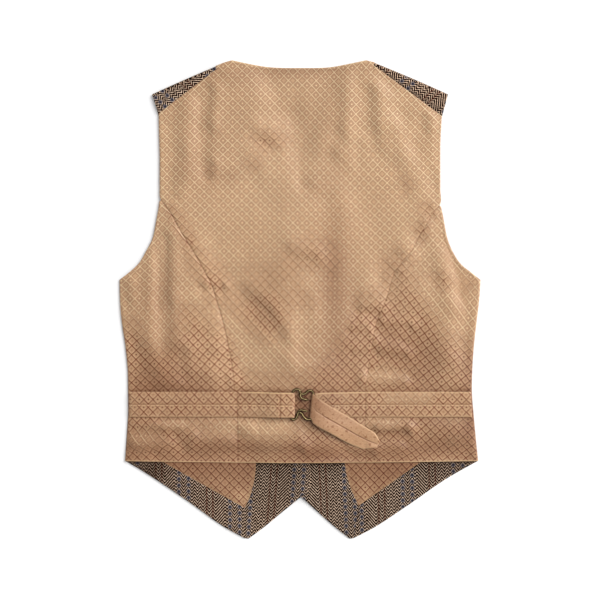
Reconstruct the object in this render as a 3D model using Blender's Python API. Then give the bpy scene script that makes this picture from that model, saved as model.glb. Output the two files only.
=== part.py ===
"""Woman's waistcoat, buttoned and laid face down, back uppermost.

The garment lies in the XY plane with its neck toward +Y and the outer face
of its fronts on the plane z = 0.  All lengths below are millimetres and are
scaled to metres when a mesh is made.  Left and right are the wearer's, which
are -X and +X here.  Every piece of cloth is a closed wall that takes its
height from one set of lying heights, so a piece that lies on another is made
from the same surface, moved up.
"""
import math

import bpy
import numpy as np

for old in list(bpy.data.objects):
    bpy.data.objects.remove(old, do_unlink=True)

MM = 0.001

# ---------------------------------------------------------------- cloth
WOOL_T = 1.4            # wool outer cloth with its canvas
FACING_T = 1.2          # wool facing inside the fronts
SATIN_T = 1.0           # satin back and lining
STRAP_T = 1.2           # belt strap, two plies pressed flat
LAY_GAP = 0.35          # between cloths that lie on each other
SEAM_GAP = 0.4          # between pieces that are sewn edge to edge
LOFT = 1.3              # how far the back stands off the lining in the middle
LOFT_MAX = 3.0

# heights of the undersides of each layer where the garment lies flattest
Z_FACING = WOOL_T + LAY_GAP
Z_BACK = Z_FACING + FACING_T + LAY_GAP

# ---------------------------------------------------------------- closure
BUTTON_R = 7.5
BUTTON_T = 2.2
BUTTON_Y = (80.0, 7.0, -66.0, -139.0, -212.0)
BUTTON_LIFT = BUTTON_T + 0.3        # the cloth over the row of buttons
LAP_LIFT = WOOL_T + LAY_GAP + FACING_T + LAY_GAP   # left front over right
LAP_HALF = 11.5                     # each front passes the centre by this
RIDGE_FLAT = 14.0                   # half width of the raised strip
RIDGE_FALL = 60.0                   # how far it takes to come down

# ---------------------------------------------------------------- edges
ROLL_W = 5.0            # side edge of the back rolls down over this width
ROLL_H = Z_BACK - (WOOL_T + 0.45)
FOLD_R = (Z_BACK + WOOL_T) / 2.0    # outer radius of the shoulder fold
NECK_SAG = 2.4          # the back hangs into the opening of the neck

# ---------------------------------------------------------------- straps
STRAP_TOP = -118.0
STRAP_FOOT = -150.0
STRAP_GAP = 0.45
WIRE_R = 0.8            # buckle wire
WIRE_CLEAR = 0.35

# ---------------------------------------------------------------- back
# name, steps to the next row, left side, left seam, right seam, right side
BACK_ROWS = (
    ("seam start", 1, (-179.7, 125.0), (-177.5, 127.0), (178.0, 120.0), (180.0, 118.5)),
    ("arm 1",      1, (-180.2, 118.5), (-172.0, 119.5), (170.0, 110.5), (181.9, 110.0)),
    ("arm 2",      1, (-182.0, 109.0), (-164.5, 109.5), (161.5,  97.0), (184.3,  97.0)),
    ("arm 3",      1, (-184.7,  94.0), (-156.0,  93.5), (150.5,  78.5), (188.0,  78.5)),
    ("arm 4",      1, (-188.2,  78.0), (-147.0,  78.5), (140.0,  59.5), (195.5,  60.0)),
    ("arm 5",      1, (-195.5,  63.5), (-138.0,  64.0), (127.0,  44.5), (206.0,  44.5)),
    ("arm 6",      1, (-206.0,  46.0), (-128.5,  48.0), (119.5,  32.0), (218.5,  34.5)),
    ("arm 7",      1, (-219.5,  33.5), (-119.5,  31.0), (116.5,  24.0), (226.0,  28.5)),
    ("underarm",   1, (-230.5,  25.0), (-113.5,  20.0), (114.0,  13.5), (230.5,  25.0)),
    ("ribs",       2, (-230.0,   2.0), (-107.5,   1.0), (107.5,  -4.5), (229.0,   2.0)),
    ("waist 1",    2, (-227.5, -28.5), ( -98.5, -28.5), ( 97.5, -28.5), (225.5, -28.5)),
    ("waist 2",    2, (-223.0, -59.5), ( -91.5, -59.5), ( 91.5, -59.5), (222.0, -59.5)),
    ("waist 3",    2, (-220.0, -90.0), ( -86.0, -90.0), ( 87.0, -90.0), (220.0, -90.0)),
    ("strap top",  2, (-219.5, -118.0), (-83.5, -118.0), (83.0, -118.0), (219.5, -118.0)),
    ("strap foot", 2, (-219.5, -150.0), (-80.0, -150.0), (83.0, -150.0), (222.0, -150.0)),
    ("seat",       2, (-221.5, -182.0), (-79.5, -182.0), (83.5, -182.0), (225.0, -182.0)),
    ("hem",        1, (-223.5, -206.0), (-79.5, -208.0), (84.0, -208.0), (227.5, -206.0)),
)
# name, steps, left armhole, right armhole: the centre panel above the seams
YOKE_ROWS = (
    ("shoulder",  4, (-180.3, 238.1), (181.3, 234.6)),
    ("blade 1",   1, (-180.0, 222.0), (180.2, 222.0)),
    ("blade 2",   1, (-179.5, 202.0), (179.2, 202.0)),
    ("blade 3",   1, (-179.0, 183.0), (179.0, 182.0)),
    ("blade 4",   1, (-179.0, 164.0), (179.0, 162.0)),
    ("blade 5",   1, (-179.0, 145.0), (179.0, 141.0)),
)
# runs of the top edge of the centre panel: columns, then the points of the run
TOP_RUNS = (
    (4, ((-180.3, 238.1), (-107.2, 294.1))),
    (1, ((-107.2, 294.1), (-108.0, 298.2))),
    (1, ((-108.0, 298.2), (-94.3, 303.5), (-87.0, 305.5))),
    (4, ((-87.0, 305.5), (-63.0, 300.5), (-39.0, 297.0), (0.0, 296.0),
         (38.5, 297.0), (62.5, 301.0), (84.5, 305.5))),
    (1, ((84.5, 305.5), (95.3, 302.9))),
    (1, ((95.3, 302.9), (94.3, 299.2))),
    (4, ((94.3, 299.2), (181.3, 234.6))),
)

# ---------------------------------------------------------------- fronts
# shoulder: fold line, then the seam that meets the back, both from the
# armhole to the neck
FOLD_LEFT = ((-189.0, 262.5), (-154.5, 278.0), (-120.0, 293.0), (-108.7, 297.7))
SEAM_LEFT = ((-180.5, 238.5), (-107.5, 294.5))
FOLD_RIGHT = ((189.0, 262.5), (154.5, 278.0), (119.0, 293.0), (96.0, 302.4))
SEAM_RIGHT = ((181.5, 235.1), (94.7, 299.5))
# name, steps to the next row, armhole or side, seam between lining and
# facing, neck or front edge
FRONT_LEFT_ROWS = (
    ("yoke",      1, (-182.0, 240.0), (-126.0, 258.0), (-74.0, 279.0)),
    ("yoke low",  1, (-176.5, 219.0), (-121.0, 232.0), (-59.5, 247.0)),
    ("chest 1",   1, (-175.0, 195.0), (-116.0, 207.0), (-51.5, 221.0)),
    ("chest 2",   2, (-174.5, 168.0), (-111.0, 179.0), (-41.5, 191.0)),
    ("chest 3",   2, (-174.5, 141.0), (-105.0, 151.0), (-30.0, 161.0)),
    ("chest 4",   2, (-176.0, 115.0), (-100.0, 121.0), (-12.0, 128.0)),
    ("break",     1, (-182.0,  88.0), ( -95.0,  90.0), (LAP_HALF, 91.5)),
    ("arm 1",     1, (-190.0,  68.0), ( -91.0,  69.0), (LAP_HALF, 70.0)),
    ("arm 2",     1, (-203.0,  48.0), ( -88.0,  49.0), (LAP_HALF, 50.0)),
    ("arm 3",     1, (-217.0,  34.5), ( -85.5,  35.0), (LAP_HALF, 36.0)),
    ("underarm",  1, (-230.5,  25.0), ( -83.5,  22.0), (LAP_HALF, 22.0)),
    ("ribs",      1, (-230.0,   2.0), ( -80.0,   0.0), (LAP_HALF, 0.0)),
    ("waist 1",   1, (-227.5, -28.5), ( -75.0, -29.0), (LAP_HALF, -30.0)),
    ("waist 2",   1, (-223.0, -59.5), ( -70.0, -60.0), (LAP_HALF, -60.0)),
    ("waist 3",   1, (-220.0, -90.0), ( -66.0, -91.0), (LAP_HALF, -92.0)),
    ("waist 4",   1, (-219.5, -118.0), (-61.5, -122.0), (LAP_HALF, -126.0)),
    ("seat 1",    1, (-219.5, -143.0), (-58.0, -158.0), (LAP_HALF, -162.0)),
    ("seat 2",    1, (-220.5, -160.0), (-56.0, -195.0), (LAP_HALF, -202.0)),
    ("corner",    1, (-221.4, -173.0), (-58.5, -231.5), (LAP_HALF, -242.5)),
    ("notch",     1, (-221.7, -177.5), (-63.5, -251.0), (1.5, -251.0)),
    ("apex",      1, (-222.0, -181.5), (-70.5, -266.5), (-22.0, -270.5)),
    ("mitre",     1, (-222.8, -194.0), (-70.8, -287.0), (-47.0, -291.5)),
)
HEM_LEFT = ((-223.5, -206.0), (-205.5, -216.5), (-145.0, -256.5),
            (-91.0, -294.0), (-71.0, -304.6)), ((-71.0, -304.6), (-66.0, -305.5))
FRONT_RIGHT_ROWS = (
    ("yoke",      1, (182.0, 240.0), (126.0, 258.0), (74.0, 279.0)),
    ("yoke low",  1, (176.5, 219.0), (121.0, 232.0), (59.5, 247.0)),
    ("chest 1",   1, (175.0, 195.0), (116.0, 207.0), (51.5, 221.0)),
    ("chest 2",   2, (174.5, 168.0), (111.0, 179.0), (41.5, 191.0)),
    ("chest 3",   2, (174.5, 141.0), (105.0, 151.0), (30.0, 161.0)),
    ("chest 4",   2, (176.0, 115.0), (100.0, 121.0), (12.0, 128.0)),
    ("break",     1, (182.0,  88.0), ( 95.0,  90.0), (-LAP_HALF, 91.5)),
    ("arm 1",     1, (190.0,  68.0), ( 91.0,  69.0), (-LAP_HALF, 70.0)),
    ("arm 2",     1, (203.0,  48.0), ( 88.0,  49.0), (-LAP_HALF, 50.0)),
    ("arm 3",     1, (217.0,  34.5), ( 85.5,  35.0), (-LAP_HALF, 36.0)),
    ("underarm",  1, (230.5,  25.0), ( 83.5,  22.0), (-LAP_HALF, 22.0)),
    ("ribs",      1, (229.0,   2.0), ( 80.0,   0.0), (-LAP_HALF, 0.0)),
    ("waist 1",   1, (225.5, -28.5), ( 75.0, -29.0), (-LAP_HALF, -30.0)),
    ("waist 2",   1, (222.0, -59.5), ( 70.0, -60.0), (-LAP_HALF, -60.0)),
    ("waist 3",   1, (220.0, -90.0), ( 66.0, -91.0), (-LAP_HALF, -92.0)),
    ("waist 4",   1, (219.5, -116.0), (61.5, -122.0), (-LAP_HALF, -126.0)),
    ("seat 1",    1, (220.5, -134.0), (58.0, -158.0), (-LAP_HALF, -162.0)),
    ("seat 2",    1, (221.6, -146.0), (56.5, -195.0), (-LAP_HALF, -202.0)),
    ("corner",    1, (222.2, -153.0), (60.5, -228.0), (-LAP_HALF, -242.5)),
    ("notch",     1, (222.5, -156.5), (67.0, -247.0), (0.5, -251.0)),
    ("apex",      1, (222.8, -159.5), (74.5, -264.0), (22.0, -270.5)),
    ("mitre",     1, (225.0, -183.0), (71.5, -286.0), (46.0, -291.5)),
)
HEM_RIGHT = ((227.5, -206.0), (191.0, -226.5), (134.0, -265.5),
             (91.5, -293.0), (69.0, -304.6)), ((69.0, -304.6), (64.0, -305.5))
LINING_COLS = 4
FACING_COLS = 5
SIDE_INSET = 6.5        # lining and hem facing stop short of the rolled side
ARM_INSET = 2.0
EDGE_INSET = 1.2        # facing back from the front edge and hem
FOLD_INSET = 3.0        # lining and facing stop short of the shoulder fold

# ---------------------------------------------------------------- neck opening
# half width of the opening between the fronts, by height
NECK_OPENING = ((306.0, 86.0), (262.0, 66.0), (210.0, 48.0), (152.0, 26.0), (111.0, 0.0))

# ---------------------------------------------------------------- folds
# main folds of the back: name, x0, y0, x1, y1, half width, height (- is a
# trough pressed down toward the lining)
FOLDS = (
    ("left blade trough",    -153.0, 243.0, -152.0, 190.0, 11.0, -0.9),
    ("left blade ridge",     -133.0, 246.0, -131.0, 176.0, 10.0,  0.8),
    ("left collar trough",   -113.0, 262.0, -118.0, 158.0, 11.0, -1.0),
    ("neck dent",             -50.0, 216.0,  -32.0, 200.0, 12.0, -1.0),
    ("right collar trough",    57.0, 256.0,   52.0, 188.0, 10.0, -0.9),
    ("right blade trough",     89.0, 258.0,  101.0, 190.0, 11.0, -1.1),
    ("right blade ridge",     120.0, 258.0,  146.0, 172.0, 11.0,  1.2),
    ("left side trough",     -168.0,  78.0, -163.0, -60.0, 11.0, -1.3),
    ("left side ridge",      -190.0,  30.0, -182.0, -60.0, 11.0,  0.9),
    ("waist dent",            -54.0,  -2.0,  -24.0, -46.0, 13.0, -1.2),
    ("centre trough",          45.0,  76.0,   44.0, -58.0, 12.0, -0.9),
    ("right waist trough",    118.0, -10.0,  178.0, -104.0, 24.0, -1.2),
    ("seat ridge",           -100.0, -166.0, 110.0, -168.0, 11.0,  0.9),
    ("seat trough",          -120.0, -189.0, 110.0, -189.0, 9.0, -0.6),
)

# ---------------------------------------------------------------- strap rows
# name, upper edge, lower edge, height above the lying strap at each edge
LEFT_STRAP_ROWS = (
    ("side seam",  (-218.0, -118.0), (-218.0, -150.0), 0.0),
    ("roll",       (-215.0, -118.0), (-215.0, -150.0), 0.0),
    ("side 1",     (-190.0, -118.0), (-190.0, -150.0), 0.0),
    ("side 2",     (-155.0, -118.0), (-155.0, -150.0), 0.0),
    ("side 3",     (-120.0, -118.0), (-120.0, -150.0), 0.0),
    ("seam",       (-82.0, -118.0), (-82.0, -150.0), 0.0),
    ("loose 1",    (-66.0, -118.0), (-66.0, -150.0), 0.3),
    ("loose 2",    (-50.0, -118.2), (-50.0, -150.0), 0.9),
    ("loose 3",    (-36.0, -118.4), (-36.0, -150.0), 2.3),
    ("stitch",     (-25.0, -118.6), (-25.0, -150.0), 3.2),
    ("over bar",   (-12.0, -118.6), (-12.0, -150.0), 3.6),
)
LEFT_LOOP_X = -6.6      # outermost point of the loop round the buckle bar
LEFT_LOOP_END = -27.0   # the sewn-down end under the strap
RIGHT_STRAP_ROWS = (
    ("side seam",  (218.0, -118.0), (219.0, -150.0), 0.0),
    ("roll",       (215.0, -118.0), (216.0, -150.0), 0.0),
    ("side 1",     (190.0, -118.0), (190.0, -150.0), 0.0),
    ("side 2",     (155.0, -118.0), (155.0, -150.0), 0.0),
    ("side 3",     (120.0, -118.0), (120.0, -150.0), 0.0),
    ("seam",       (83.0, -118.2), (83.0, -150.0), 0.0),
    ("loose 1",    (66.0, -118.4), (66.0, -150.0), 0.0),
    ("loose 2",    (50.0, -118.6), (50.0, -150.2), 0.0),
    ("loose 3",    (34.0, -118.8), (34.0, -150.4), 0.0),
    ("loose 4",    (24.0, -119.2), (23.0, -150.4), 0.0),
)
# the fold round the right bar: upper and lower ends of its outermost line
TAIL_FOLD = ((15.0, -120.4), (11.9, -150.3))
# name, upper edge, lower edge, height of the underside at each edge above the
# top of the back
TAIL_ROWS = (
    ("out",     (25.0, -127.0), (16.5, -157.0), 4.5, 4.5),
    ("tail 1",  (36.0, -134.0), (24.0, -162.0), 4.0, 4.4),
    ("tail 2",  (50.0, -142.5), (35.5, -168.0), 3.2, 4.2),
    ("tail 3",  (64.0, -150.5), (49.5, -176.0), 2.6, 3.6),
    ("tail 4",  (80.0, -160.5), (65.0, -184.5), 1.9, 2.6),
    ("corner",  (95.5, -170.0), (80.0, -190.5), 1.5, 1.7),
    ("tip",     (102.0, -181.0), (97.0, -188.5), 1.4, 1.4),
)

# ---------------------------------------------------------------- buckle
# name, x, y, height over the bars: the wire frame, once round from the foot
# of the left bar
BUCKLE_FRAME = (
    ("left bar foot",  -10.2, -148.0, 0.0),
    ("left bar",        -9.6, -134.0, 0.0),
    ("left bar head",   -9.2, -121.0, 0.0),
    ("left shoulder",   -8.6, -117.2, 0.0),
    ("hump 1 rise",     -6.8, -114.6, 0.2),
    ("hump 1 crown",    -3.6, -113.8, 0.4),
    ("hump 1 fall",     -0.4, -115.2, 0.3),
    ("dip",              0.4, -118.6, 0.0),
    ("dip foot",         3.4, -120.2, 0.0),
    ("hump 2 rise",      7.4, -119.2, 0.2),
    ("hump 2",          10.0, -116.4, 0.4),
    ("hump 2 crown",    13.4, -115.4, 0.3),
    ("right shoulder",  16.4, -117.6, 0.0),
    ("right bar head",  17.4, -121.4, 0.0),
    ("right bar",       16.4, -134.0, 0.0),
    ("right bar foot",  14.8, -147.5, 0.0),
    ("low right",       14.2, -151.4, 0.0),
    ("low corner",      11.8, -152.4, 0.0),
    ("low hump 2",       8.2, -151.8, 0.2),
    ("low rise 2",       4.8, -148.8, 0.3),
    ("low dip right",    2.0, -144.4, 0.0),
    ("low dip left",    -2.0, -143.6, 0.0),
    ("low fall 1",      -3.4, -147.4, 0.2),
    ("low hump 1",      -5.4, -151.2, 0.3),
    ("left foot",       -8.6, -152.4, 0.1),
    ("left turn",      -10.4, -151.2, 0.0),
)
# name, x, y, height over the bars: the two prongs, from the frame outward
PRONG_UPPER = (
    ("root",   0.9, -119.4, 0.2),
    ("bend",   0.4, -122.6, 0.8),
    ("turn",   2.2, -125.2, 1.0),
    ("shank",  6.0, -126.5, 1.1),
    ("tip",   11.3, -127.7, 1.2),
)
PRONG_LOWER = (
    ("root",  -1.0, -143.4, 0.2),
    ("bend",  -1.6, -141.4, 0.8),
    ("turn",   1.4, -140.0, 1.0),
    ("shank",  5.0, -140.9, 1.1),
    ("tip",    9.6, -141.9, 1.2),
)


# ================================================================ helpers
def ease(t):
    """Smooth 0 to 1."""
    t = np.clip(t, 0.0, 1.0)
    return t * t * (3.0 - 2.0 * t)


def along(points, count):
    """count + 1 points evenly spaced along a polyline."""
    pts = np.array(points, float)
    seg = np.sqrt(((pts[1:] - pts[:-1]) ** 2).sum(1))
    s = np.concatenate(([0.0], np.cumsum(seg)))
    t = np.linspace(0.0, s[-1], count + 1)
    return np.stack([np.interp(t, s, pts[:, k]) for k in range(pts.shape[1])], 1)


def smooth_run(points, count):
    """count + 1 points along a curve that passes through all the points."""
    pts = np.array(points, float)
    if len(pts) < 3:
        return along(points, count)
    seg = np.maximum(np.sqrt(((pts[1:] - pts[:-1]) ** 2).sum(1)), 1e-9)
    s = np.concatenate(([0.0], np.cumsum(seg)))
    slope = (pts[1:] - pts[:-1]) / seg[:, None]
    tan = np.empty_like(pts)
    tan[0], tan[-1] = slope[0], slope[-1]
    w = seg[1:] / (seg[1:] + seg[:-1])
    tan[1:-1] = slope[:-1] * w[:, None] + slope[1:] * (1 - w)[:, None]
    t = np.linspace(0.0, s[-1], count + 1)
    k = np.clip(np.searchsorted(s, t, side="right") - 1, 0, len(pts) - 2)
    h = seg[k]
    f = ((t - s[k]) / h)[:, None]
    h = h[:, None]
    return ((2 * f ** 3 - 3 * f ** 2 + 1) * pts[k] + (f ** 3 - 2 * f ** 2 + f) * h * tan[k]
            + (-2 * f ** 3 + 3 * f ** 2) * pts[k + 1] + (f ** 3 - f ** 2) * h * tan[k + 1])


def distance_to(points, x, y):
    """Distance from (x, y) to a polyline."""
    pts = np.array(points, float)
    best = np.full(np.shape(x), 1e9)
    for (ax, ay), (bx, by) in zip(pts[:-1], pts[1:]):
        dx, dy = bx - ax, by - ay
        size = max(dx * dx + dy * dy, 1e-9)
        t = np.clip(((x - ax) * dx + (y - ay) * dy) / size, 0.0, 1.0)
        best = np.minimum(best, np.hypot(x - ax - t * dx, y - ay - t * dy))
    return best


def rows_between(rows, steps):
    """Rows of points, with straight steps put in between the named rows."""
    out = []
    for k, row in enumerate(rows[:-1]):
        for j in range(steps[k]):
            f = j / steps[k]
            out.append(row * (1 - f) + rows[k + 1] * f)
    out.append(rows[-1])
    return np.array(out)


# ================================================================ lying heights
LEFT_EDGE = tuple(r[2] for r in YOKE_ROWS) + tuple(r[2] for r in BACK_ROWS)
RIGHT_EDGE = tuple(r[3] for r in YOKE_ROWS) + tuple(r[5] for r in BACK_ROWS)
LEFT_SIDE = tuple(r[2] for r in BACK_ROWS if r[2][1] < 26.0)
RIGHT_SIDE = tuple(r[5] for r in BACK_ROWS if r[5][1] < 26.0)
TOP_EDGE = tuple(p for run in TOP_RUNS for p in run[1])


def button_ridge(x, y):
    """1 over the row of buttons, falling to 0 around it."""
    return ((1 - ease((np.abs(x) - RIDGE_FLAT) / RIDGE_FALL))
            * (1 - ease((y - 92.0) / 80.0)) * ease((y + 278.0) / 52.0))


def lap(x, y):
    """1 where the left front lies on the right one, falling to 0 toward -X."""
    return (ease((x + RIDGE_FLAT + 2.0 + RIDGE_FALL) / RIDGE_FALL)
            * (1 - ease((y - 116.0) / 80.0)) * ease((y + 298.0) / 44.0))


def lift_right(x, y):
    return BUTTON_LIFT * button_ridge(x, y)


def lift_left(x, y):
    return BUTTON_LIFT * button_ridge(x, y) + LAP_LIFT * lap(x, y)


def lift_back(x, y):
    return BUTTON_LIFT * button_ridge(x, y) + LAP_LIFT * lap(-np.abs(x), y)


def folds(x, y):
    total = np.zeros(np.shape(x))
    for _name, x0, y0, x1, y1, half, height in FOLDS:
        dx, dy = x1 - x0, y1 - y0
        n = math.hypot(dx, dy)
        t = ((x - x0) * dx + (y - y0) * dy) / n
        d = ((x - x0) * dy - (y - y0) * dx) / n
        over = np.maximum(np.maximum(-t, t - n), 0.0)
        total = total + height * np.exp(-(d / half) ** 2 - (over / (1.4 * half)) ** 2)
    return total


def loft(x, y):
    """How far the back stands off what it lies on."""
    edge = np.minimum(distance_to(LEFT_EDGE, x, y), distance_to(RIGHT_EDGE, x, y))
    edge = np.minimum(edge, distance_to(TOP_EDGE, x, y))
    hem = y + 207.0
    free = ease(edge / 24.0) * (0.35 + 0.65 * ease(hem / 16.0))
    band = 1 - 0.7 * ease((28.0 - np.abs(y + 134.0)) / 12.0)
    centre = 1 - 0.55 * button_ridge(x, y)
    high = np.clip(LOFT + folds(x, y), 0.1, LOFT_MAX)
    return high * free * band * centre


def sag(x, y):
    """The back hangs a little into the neck opening of the fronts."""
    ys = [p[0] for p in NECK_OPENING][::-1]
    ws = [p[1] for p in NECK_OPENING][::-1]
    half = np.interp(y, ys, ws, left=-20.0)
    return NECK_SAG * ease((half - np.abs(x) - 8.0) / 34.0)


def roll(x, y):
    d = np.minimum(distance_to(LEFT_SIDE, x, y), distance_to(RIGHT_SIDE, x, y))
    t = np.clip((ROLL_W - d) / ROLL_W, 0.0, 1.0)
    return ROLL_H * (1 - np.sqrt(1 - t * t))


def back_under(x, y):
    return Z_BACK + lift_back(x, y) + loft(x, y) - sag(x, y) - roll(x, y)


def back_top(x, y):
    return back_under(x, y) + SATIN_T


# ================================================================ meshes
def material(name, color, roughness, metallic=0.0):
    m = bpy.data.materials.new(name)
    m.use_nodes = True
    p = m.node_tree.nodes["Principled BSDF"]
    p.inputs["Base Color"].default_value = (*color, 1.0)
    p.inputs["Roughness"].default_value = roughness
    p.inputs["Metallic"].default_value = metallic
    return m


def make_object(name, verts, faces, look):
    v = np.array(verts, float)
    vol = 0.0
    for f in faces:
        a = v[f[0]]
        for k in range(1, len(f) - 1):
            vol += np.dot(a, np.cross(v[f[k]], v[f[k + 1]]))
    if vol < 0:
        faces = [tuple(reversed(f)) for f in faces]
    mesh = bpy.data.meshes.new(name)
    mesh.from_pydata([tuple(p * MM) for p in v], [], faces)
    mesh.validate()
    mesh.update()
    mesh.shade_smooth()
    mesh.set_sharp_from_angle(angle=math.radians(40))
    ob = bpy.data.objects.new(name, mesh)
    bpy.context.scene.collection.objects.link(ob)
    ob.data.materials.append(material("mat_" + name, *look))
    return ob


def wall(name, under, over, look):
    """Closed wall between two grids of points, rows by columns by 3."""
    rows, cols = under.shape[:2]
    verts = np.concatenate((under.reshape(-1, 3), over.reshape(-1, 3)))
    n = rows * cols

    def a(i, j):
        return i * cols + j

    def b(i, j):
        return n + i * cols + j

    faces = []
    for i in range(rows - 1):
        for j in range(cols - 1):
            faces.append((a(i, j), a(i, j + 1), a(i + 1, j + 1), a(i + 1, j)))
            faces.append((b(i, j), b(i + 1, j), b(i + 1, j + 1), b(i, j + 1)))
    for j in range(cols - 1):
        faces.append((a(0, j), b(0, j), b(0, j + 1), a(0, j + 1)))
        i = rows - 1
        faces.append((a(i, j), a(i, j + 1), b(i, j + 1), b(i, j)))
    for i in range(rows - 1):
        faces.append((a(i, 0), a(i + 1, 0), b(i + 1, 0), b(i, 0)))
        j = cols - 1
        faces.append((a(i, j), b(i, j), b(i + 1, j), a(i + 1, j)))
    return make_object(name, verts, faces, look)


def lying(name, flat, height, thick, look):
    """Panel that lies on a height, one cloth thick."""
    z = height(flat[..., 0], flat[..., 1])
    under = np.concatenate((flat, z[..., None]), 2)
    over = under.copy()
    over[..., 2] += thick
    return wall(name, under, over, look)


SATIN = ((0.56, 0.33, 0.19), 0.42)
WOOL = ((0.115, 0.085, 0.068), 0.95)
BRASS = ((0.30, 0.22, 0.09), 0.42, 0.95)
HORN = ((0.06, 0.035, 0.022), 0.35)

# ---------------------------------------------------------------- back panels
CENTRE_COLS = sum(run[0] for run in TOP_RUNS)
SIDE_COLS = 6


def even(p, q, cols, left_gap=0.0, right_gap=0.0):
    a = np.array(p, float) + (left_gap, 0.0)
    b = np.array(q, float) + (right_gap, 0.0)
    return a + (b - a) * np.linspace(0, 1, cols + 1)[:, None]


top = [smooth_run(run[1], run[0]) for run in TOP_RUNS]
top_row = np.concatenate([top[0]] + [t[1:] for t in top[1:]])
centre_rows = [top_row]
centre_rows += [even(r[2], r[3], CENTRE_COLS) for r in YOKE_ROWS[1:]]
half_gap = SEAM_GAP / 2
centre_rows += [even(r[3], r[4], CENTRE_COLS, half_gap, -half_gap) for r in BACK_ROWS]
centre_steps = [r[1] for r in YOKE_ROWS] + [r[1] for r in BACK_ROWS]
lying("back_centre", rows_between(centre_rows, centre_steps), back_under, SATIN_T, SATIN)


def side_row(side, seam, gap):
    """Columns close together in the roll of the side edge."""
    a = np.array(side, float)
    b = np.array(seam, float) + (gap, 0.0)
    width = np.hypot(*(b - a))
    u = np.linspace(0, 1, SIDE_COLS + 1)
    if side[1] < 50.0:
        near = np.array([0.0, 1.6, ROLL_W + 0.6]) / width
        u = np.concatenate((near, near[-1] + (1 - near[-1]) * np.linspace(0, 1, SIDE_COLS - 1)[1:]))
    return a + (b - a) * u[:, None]


side_steps = [r[1] for r in BACK_ROWS]
left_rows = [side_row(r[2], r[3], -half_gap) for r in BACK_ROWS]
right_rows = [side_row(r[5], r[4], half_gap) for r in BACK_ROWS]
lying("back_side_left", rows_between(left_rows, side_steps), back_under, SATIN_T, SATIN)
lying("back_side_right", rows_between(right_rows, side_steps), back_under, SATIN_T, SATIN)

# ---------------------------------------------------------------- fronts
FRONT_COLS = LINING_COLS + FACING_COLS


def front(name, fold, seam, table, hem, lift):
    """Front with its shoulder turned up and over to the seam on the back.

    Gives back its rows of flat points, which the insides are made from.
    """
    f = smooth_run(fold, FRONT_COLS)
    s = smooth_run(seam, FRONT_COLS)
    d = f[-1] - f[0]
    d = d / np.hypot(*d)
    out = np.array((-d[1], d[0]))
    if out[1] < 0:
        out = -out
    inner = f - out * FOLD_R
    r_in = FOLD_R - WOOL_T
    outer_rows, inner_rows = [], []
    for t in (0.0, 0.5, 1.0):
        p = s * (1 - t) + inner * t
        outer_rows.append(np.column_stack((p, np.full(len(p), 2 * FOLD_R))))
        inner_rows.append(np.column_stack((p, np.full(len(p), Z_BACK))))
    for deg in (45.0, 90.0, 135.0):
        a = math.radians(deg)
        po = inner + out * FOLD_R * math.sin(a)
        pi = inner + out * r_in * math.sin(a)
        outer_rows.append(np.column_stack((po, np.full(len(po), FOLD_R + FOLD_R * math.cos(a)))))
        inner_rows.append(np.column_stack((pi, np.full(len(pi), FOLD_R + r_in * math.cos(a)))))
    named = [inner]
    for _n, _steps, arm, mid, edge in table:
        named.append(np.concatenate((even(arm, mid, LINING_COLS),
                                     even(mid, edge, FACING_COLS)[1:])))
    named.append(np.concatenate((smooth_run(hem[0], LINING_COLS),
                                 smooth_run(hem[1], FACING_COLS)[1:])))
    flat = rows_between(named, [1] + [r[1] for r in table])
    for p in flat:
        z = lift(p[:, 0], p[:, 1])
        outer_rows.append(np.column_stack((p, z)))
        inner_rows.append(np.column_stack((p, z + WOOL_T)))
    wall(name, np.array(outer_rows), np.array(inner_rows), WOOL)
    z = lift(flat[..., 0], flat[..., 1])
    return np.concatenate((flat, z[..., None]), 2)


def toward(a, b, gap):
    """The points a moved by gap toward the points b."""
    d = b - a
    n = np.sqrt((d[..., :2] ** 2).sum(-1, keepdims=True))
    return a + d * gap / n


def insides(side, grid, table):
    """Lining, front facing and hem facing, made from the front's points."""
    steps = [1] + [r[1] for r in table]
    apex = sum(steps[:[r[0] for r in table].index("apex") + 1])
    g = grid.copy()
    g[0] = toward(g[0], g[1], FOLD_INSET)
    sidewall = g[:, 0, 1] < 26.0
    inset = np.where(sidewall, SIDE_INSET, ARM_INSET)[:, None]
    g[:, 0] = toward(g[:, 0], g[:, 1], inset)
    g[:, -1] = toward(g[:, -1], g[:, -2], EDGE_INSET)
    g[-1] = toward(g[-1], g[-2], EDGE_INSET)
    c = LINING_COLS
    half = SEAM_GAP / 2
    lining = g[:apex + 1, :c + 1].copy()
    lining[:, c] = toward(lining[:, c], lining[:, c - 1], half)
    lining[-1] = toward(lining[-1], lining[-2], half)
    band = g[apex:, :c + 1].copy()
    band[:, c] = toward(band[:, c], band[:, c - 1], half)
    band[0] = toward(band[0], band[1], half)
    facing = g[:, c:].copy()
    facing[:, 0] = toward(facing[:, 0], facing[:, 1], half)
    for name, part, thick, look in (("lining_", lining, SATIN_T, SATIN),
                                    ("facing_hem_", band, FACING_T, WOOL),
                                    ("facing_front_", facing, FACING_T, WOOL)):
        under = part + (0.0, 0.0, Z_FACING)
        wall(name + side, under, under + (0.0, 0.0, thick), look)


left_grid = front("front_left", FOLD_LEFT, SEAM_LEFT, FRONT_LEFT_ROWS, HEM_LEFT, lift_left)
right_grid = front("front_right", FOLD_RIGHT, SEAM_RIGHT, FRONT_RIGHT_ROWS, HEM_RIGHT, lift_right)
insides("left", left_grid, FRONT_LEFT_ROWS)
insides("right", right_grid, FRONT_RIGHT_ROWS)

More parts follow.
